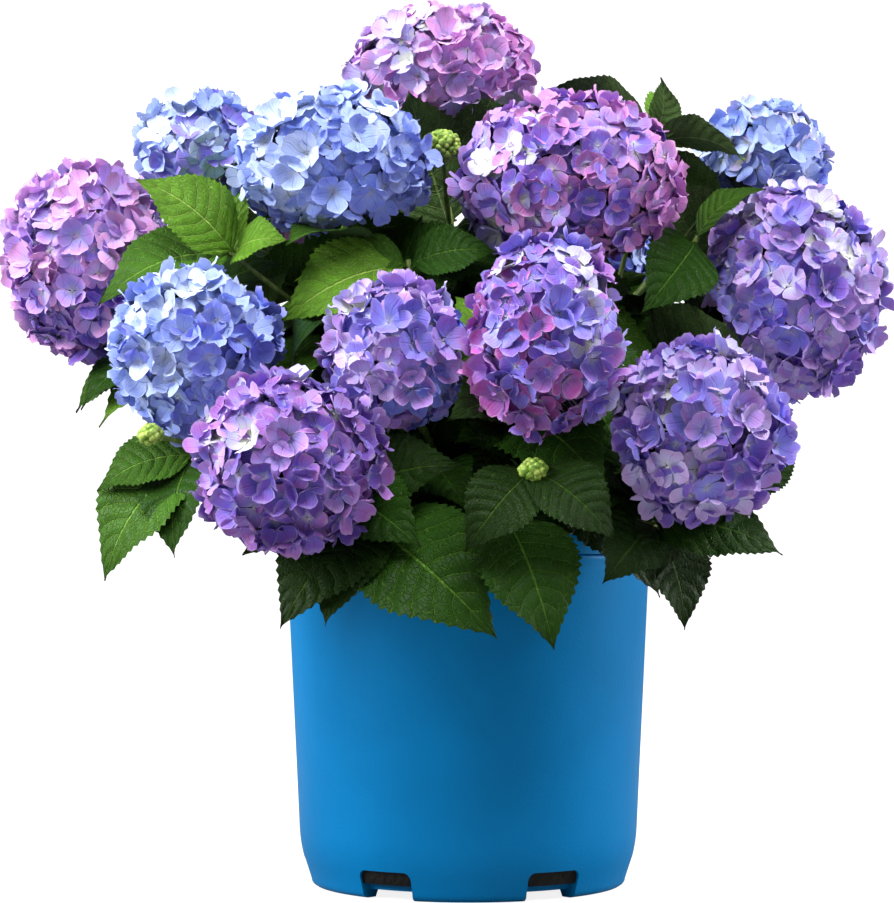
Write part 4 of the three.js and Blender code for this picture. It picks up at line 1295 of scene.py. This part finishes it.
def heart_skin():
    """The inside of a head, where fine green stalks and the backs of sepals show, painted dark
    violet and dull green for the shade between the blossoms.
    """
    material, tree, shader = finish("head_heart_painted_shade", Roughness=0.8)
    cloud = grain(tree, object_place(tree), 160.0, 4.0)
    # Painted shade: dark violet and dull green stand for the shade deep inside the head.
    give(tree, shader, mixed(tree, fade(tree, cloud, 0.4, 0.62), srgb(34, 26, 62), srgb(48, 52, 36)),
         None, cloud, 0.002)
    return material


def egg_area(radii):
    """The area of an egg with three radii, nearly."""
    sides = ((radii.x * radii.y) ** 1.6, (radii.x * radii.z) ** 1.6, (radii.y * radii.z) ** 1.6)
    return 4 * math.pi * (sum(side / 3 for side in sides)) ** (1 / 1.6)


shapes = {f"{what} {k + 1}": blossom_shape(f"{what}_blossom_{k}", k, *form)
          for what, form in (("Open", (OPEN_RISE, OPEN_CUP, OPEN_FOLD)),
                             ("Closed", (CLOSED_RISE, CLOSED_CUP, CLOSED_FOLD)))
          for k in range(TINT_COUNT)}
sepal_materials = {name: sepal_skin(name, *colours) for name, colours in TINTS.items()}
heart_build = Build()
ball_angles = [math.radians(degrees) for degrees in range(BALL_STEP_DEG - 90, 90, BALL_STEP_DEG)]
ball_points, ball_faces = lathe(
    [(0.0, -1.0)] + [(math.cos(a), math.sin(a)) for a in ball_angles] + [(0.0, 1.0)], BALL_TURNS)
for number, head in enumerate(FLOWERING_CANES):
    middle = spot(head["at"])
    radii = Vector(head["size"]) * MM / 2 - Vector((HEAD_INSET, HEAD_INSET, HEAD_INSET))
    # The lean draws the darker tints to each head's shaded side: partly real hue, partly painted shade.
    mophead = grown(f"mophead_{head['name']}", cluster, cluster_keys, {
        "Count": round(egg_area(radii) / BLOSSOM_SPACING ** 2), "Middle": middle, "Radii": radii,
        "Stem Way": (middle - head["stem"].at(1)).normalized(), "Stem Side": STEM_SIDE,
        "Lean": Vector(head["lean"]), "Deepest": DEEPEST_SHARE, "Size": BLOSSOM_RADIUS, "Tilt": 0.45,
        "Warp": BLOSSOM_WARP, "Closed Share": CLOSED_SHARE, "Seed": 40 + 10 * number, **shapes,
        **{f"Tint {k + 1}": sepal_materials[name] for k, name in enumerate(head["tints"])}})
    mophead.data.shade_smooth()
    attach(mophead, "root")
    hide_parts(f"flower_head_{head['name']}")
    heart_build.add([middle + (p - AXIS) * radii * HEART_SHARE
                     * (1 + 0.05 * noise.noise(p * 3 + middle * 40)) for p in ball_points], ball_faces)
hearts = heart_build.shape("head_hearts", [heart_skin()], sharp_deg=80)
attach(hearts, "root")
for shape in shapes.values():
    bpy.data.objects.remove(shape)


# ---- Floor, light and camera ------------------------------------------------------------------
# A plain white studio: a matt floor, a large soft lamp on the left, weaker ones on the right and
# overhead, and even light from all round.

EYE_DISTANCE = 1640 * MM
EYE_SIDE = -13.65 * MM
EYE_HEIGHT = 213 * MM
EYE_PITCH_DEG = 2.281
LENS_MM = 100.58
FLOOR_SIDE = 30
FLOOR_GLOW = 0.86               # keeps the floor nearly as white as the air behind it
FAR_GLOW = 1.02                 # what its glow rises to, away from the pot
FAR_GLOW_FROM, FAR_GLOW_AT = 0.3, 1.2    # it rises between these distances from the middle
AIR_LIGHT = 0.29
AIR_SEEN = 0.9                  # added where the camera sees the air, to show it pure white


def soft_lamp(name, place, aim, width, power):
    lamp = bpy.data.lights.new(name, "AREA")
    lamp.shape, lamp.size, lamp.energy = "DISK", width, power
    made = bpy.data.objects.new(name, lamp)
    made.location = Vector(place)
    made.rotation_mode = "QUATERNION"
    made.rotation_quaternion = (Vector(aim) - Vector(place)).to_track_quat("-Z", "Y")
    bpy.context.scene.collection.objects.link(made)


def seen_by_camera(tree):
    return node(tree, "ShaderNodeLightPath").outputs["Is Camera Ray"]


floor_material, floor_tree, floor_shader = finish("studio_floor", Roughness=0.9)
floor_shader.inputs["Base Color"].default_value = (0.25, 0.25, 0.25, 1.0)
floor_shader.inputs["Emission Color"].default_value = (1.0, 1.0, 1.0, 1.0)
reach = node(floor_tree, "ShaderNodeVectorMath", {0: object_place(floor_tree)}, operation="LENGTH")
glow = maths(floor_tree, "MULTIPLY_ADD",
             fade(floor_tree, reach.outputs["Value"], FAR_GLOW_FROM, FAR_GLOW_AT),
             FAR_GLOW - FLOOR_GLOW, FLOOR_GLOW)
floor_tree.links.new(maths(floor_tree, "MULTIPLY", seen_by_camera(floor_tree), glow),
                     floor_shader.inputs["Emission Strength"])
floor_build = Build()
floor_build.add([(FLOOR_SIDE * x, FLOOR_SIDE * y, 0.0) for x, y in ((-1, -1), (1, -1), (1, 1), (-1, 1))],
                [(0, 1, 2, 3)])
floor_build.shape("floor", [floor_material])

soft_lamp("key", (-2.1, -0.6, 1.4), (0, 0, 0.35), 1.6, 106)
soft_lamp("side", (2.0, 0.3, 1.0), (0, 0, 0.3), 1.2, 56)
soft_lamp("overhead", (0.1, -1.0, 2.2), (0, 0, 0.45), 1.5, 60)

world = bpy.data.worlds.new("studio")
world.use_nodes = True
bpy.context.scene.world = world
sky = world.node_tree.nodes["Background"]
sky.inputs["Color"].default_value = (1.0, 1.0, 1.0, 1.0)
world.node_tree.links.new(maths(world.node_tree, "MULTIPLY_ADD", seen_by_camera(world.node_tree),
                                AIR_SEEN, AIR_LIGHT), sky.inputs["Strength"])

eye = bpy.data.cameras.new("eye")
eye.lens, eye.sensor_width = LENS_MM, 36
camera = bpy.data.objects.new("eye", eye)
camera.location = AXIS + Vector((EYE_SIDE, -EYE_DISTANCE, EYE_HEIGHT))
camera.rotation_euler = (math.radians(90 + EYE_PITCH_DEG), 0, 0)
bpy.context.scene.collection.objects.link(camera)
bpy.context.scene.camera = camera
bpy.context.scene.view_settings.view_transform = "Standard"
